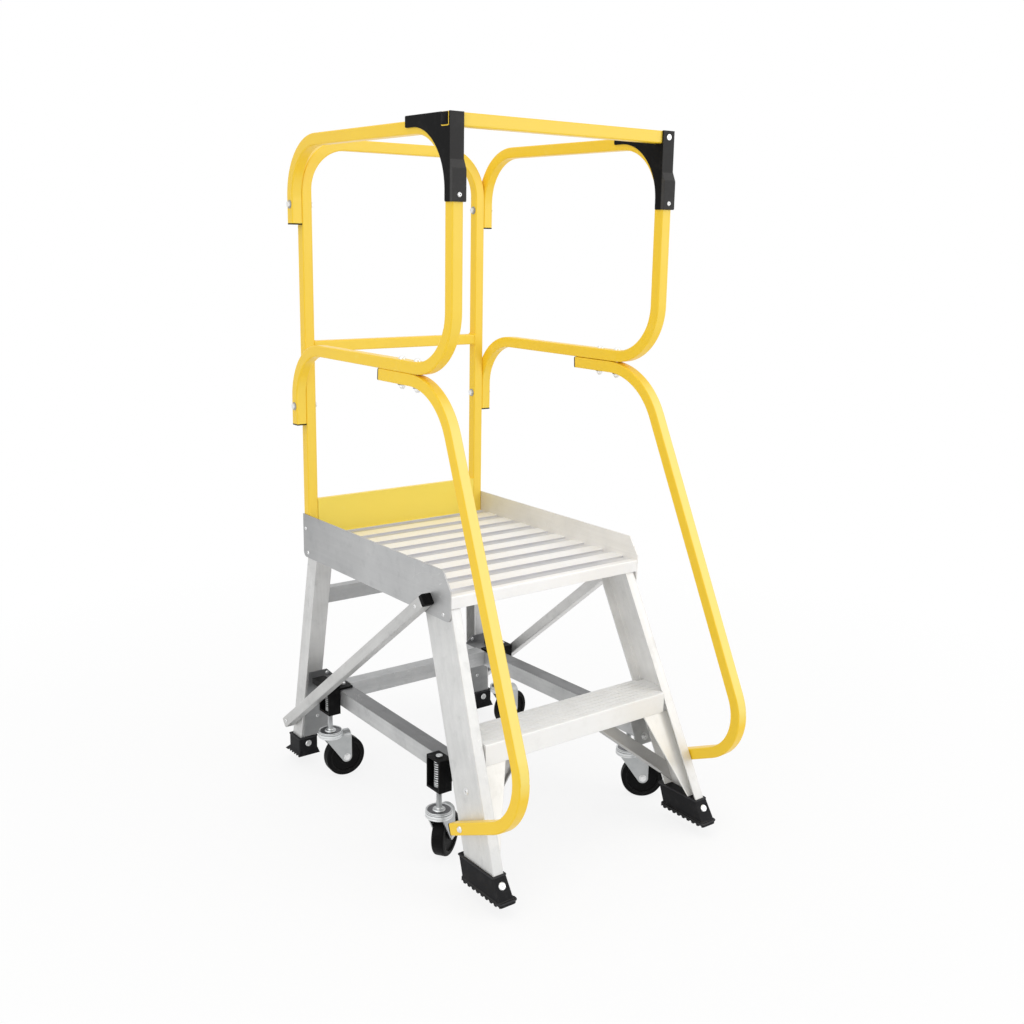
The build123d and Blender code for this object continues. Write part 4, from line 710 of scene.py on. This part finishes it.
def gate_stop():
    """Moulded head of the gate bar's plug: it caps the top and back of the bar's end."""
    thick, sunk, cut, side_share, edge_share = 0.0012, 0.0006, 0.0016, 0.6, 0.93
    near_inset, far_inset = 0.0026, 0.0004
    low, high = box("gate_bar")
    half = (high.y - low.y) / 2
    centre = Vector((low.x, (low.y + high.y) / 2, (low.z + high.z) / 2))
    near, far = near_inset - half, half - far_inset
    outline = rounded([(near, near, cut), (near, far, cut), (far, far, cut), (far, near, cut)], steps=5)
    layers = ((sunk, 1), (-thick * side_share, 1), (-thick, edge_share), (-thick, 0))
    points = [centre + Vector((depth, y * share, z * share)) for depth, share in layers for y, z in outline]
    piece("gate_stop", (points, rings(len(layers), len(outline))), black, "gate")


def weld_beads():
    """Rippled weld beads round both ends of the middle rail, under the yellow coat."""
    ripples, bead_radius, ripple, sunk, corner_cut = 36, 0.0021, 0.0005, 0.0004, 0.0012
    low, high = box("mid_rail")
    half = (high.z - low.z) / 2
    centre = middle("mid_rail")
    shapes = []
    for side in sides.values():
        line = []
        for i in range(ripples):
            turn = math.tau * i / ripples
            across, up = math.cos(turn), math.sin(turn)
            out = min(half / max(abs(across), abs(up)), half * math.sqrt(2) - corner_cut)
            line.append(Vector((side * (high.x - sunk), centre.y + out * across, centre.z + out * up)))
        shapes.append(wire(line, lambda i: bead_radius + ripple * (i % 2), closed=True))
    piece("weld_beads", gather(shapes), yellow, "frame")


for corner in caster_corners:
    spring_coil(corner)
    caster(corner)
bolt_trim()
cleat_nuts()
weld_beads()
boot_rims()
gate_stop()


def studio():
    """White studio: rays that show the background see white, and the rest a softer light."""
    soft_level = 0.7
    scene = bpy.context.scene
    scene.view_settings.view_transform = "Standard"
    scene.world = bpy.data.worlds.new("studio")
    sky = Board(scene.world)
    level = sky.background_ray() * (1 - soft_level) + soft_level
    light = sky.node("ShaderNodeBackground", None, {"Color": (1, 1, 1, 1), "Strength": level})
    sky.node("ShaderNodeOutputWorld", None, {0: light})


def floor():
    """Pale floor that keeps the soft shadow near the platform and is plain white further off."""
    reach, near, far, least_white = 40.0, 0.5, 2.2, 0.84
    corners = [(-reach, -reach, 0), (reach, -reach, 0), (reach, reach, 0), (-reach, reach, 0)]
    mesh = bpy.data.meshes.new("floor")
    mesh.from_pydata(corners, [], [(0, 1, 2, 3)])
    plane = bpy.data.objects.new("floor", mesh)
    bpy.context.scene.collection.objects.link(plane)
    pale = Finish("pale_floor", base_color=(0.9, 0.9, 0.9, 1), roughness=0.9, specular_ior_level=0.1)
    distance = pale.node("ShaderNodeVectorMath", {"operation": "LENGTH"}, {0: pale.point}, "Value")
    white = pale.node("ShaderNodeEmission", None, {"Strength": 1.0})
    share = pale.background_ray() * (least_white + pale.between(distance, near, far) * (1 - least_white))
    mixed = pale.node("ShaderNodeMixShader", None, {0: share, 1: pale.shader, 2: white})
    pale.feed(pale.output.inputs[0], mixed)
    mesh.materials.append(pale.material)


def lamp(name, place, target, size, power):
    """Soft square lamp that faces a point."""
    data = bpy.data.lights.new(name, "AREA")
    data.size = size
    data.energy = power
    light = bpy.data.objects.new(name, data)
    light.location = place
    light.rotation_euler = (Vector(target) - Vector(place)).to_track_quat("-Z", "Y").to_euler()
    bpy.context.scene.collection.objects.link(light)


def camera():
    """Camera at the photograph's place."""
    place = (-1.56187, -2.09104, 1.31)
    azimuth, tilt, roll = math.radians(37.412), math.radians(13.058), math.radians(0.993)
    data = bpy.data.cameras.new("camera")
    data.sensor_width = 36.0
    data.lens = 41.54
    data.clip_end = 100.0
    level_ahead = Vector((math.sin(azimuth), math.cos(azimuth), 0))
    ahead = level_ahead * math.cos(tilt) - Vector(upright) * math.sin(tilt)
    level = Vector((math.cos(azimuth), -math.sin(azimuth), 0))
    above = level.cross(ahead)
    right = math.cos(roll) * level + math.sin(roll) * above
    up = math.cos(roll) * above - math.sin(roll) * level
    view = bpy.data.objects.new("camera", data)
    view.matrix_world = Matrix.Translation(place) @ Matrix((right, up, -ahead)).transposed().to_4x4()
    bpy.context.scene.collection.objects.link(view)
    bpy.context.scene.camera = view


studio()
floor()
lamp("front_lamp", place=(2.2, -3.0, 2.3), target=(0, 0, 0.7), size=2.4, power=36)
lamp("left_lamp", place=(-3.4, -1.0, 1.8), target=(0, 0, 0.8), size=2.4, power=20)
lamp("top_lamp", place=(-0.3, 0.2, 4.4), target=(0, 0, 0.6), size=3.0, power=34)
camera()
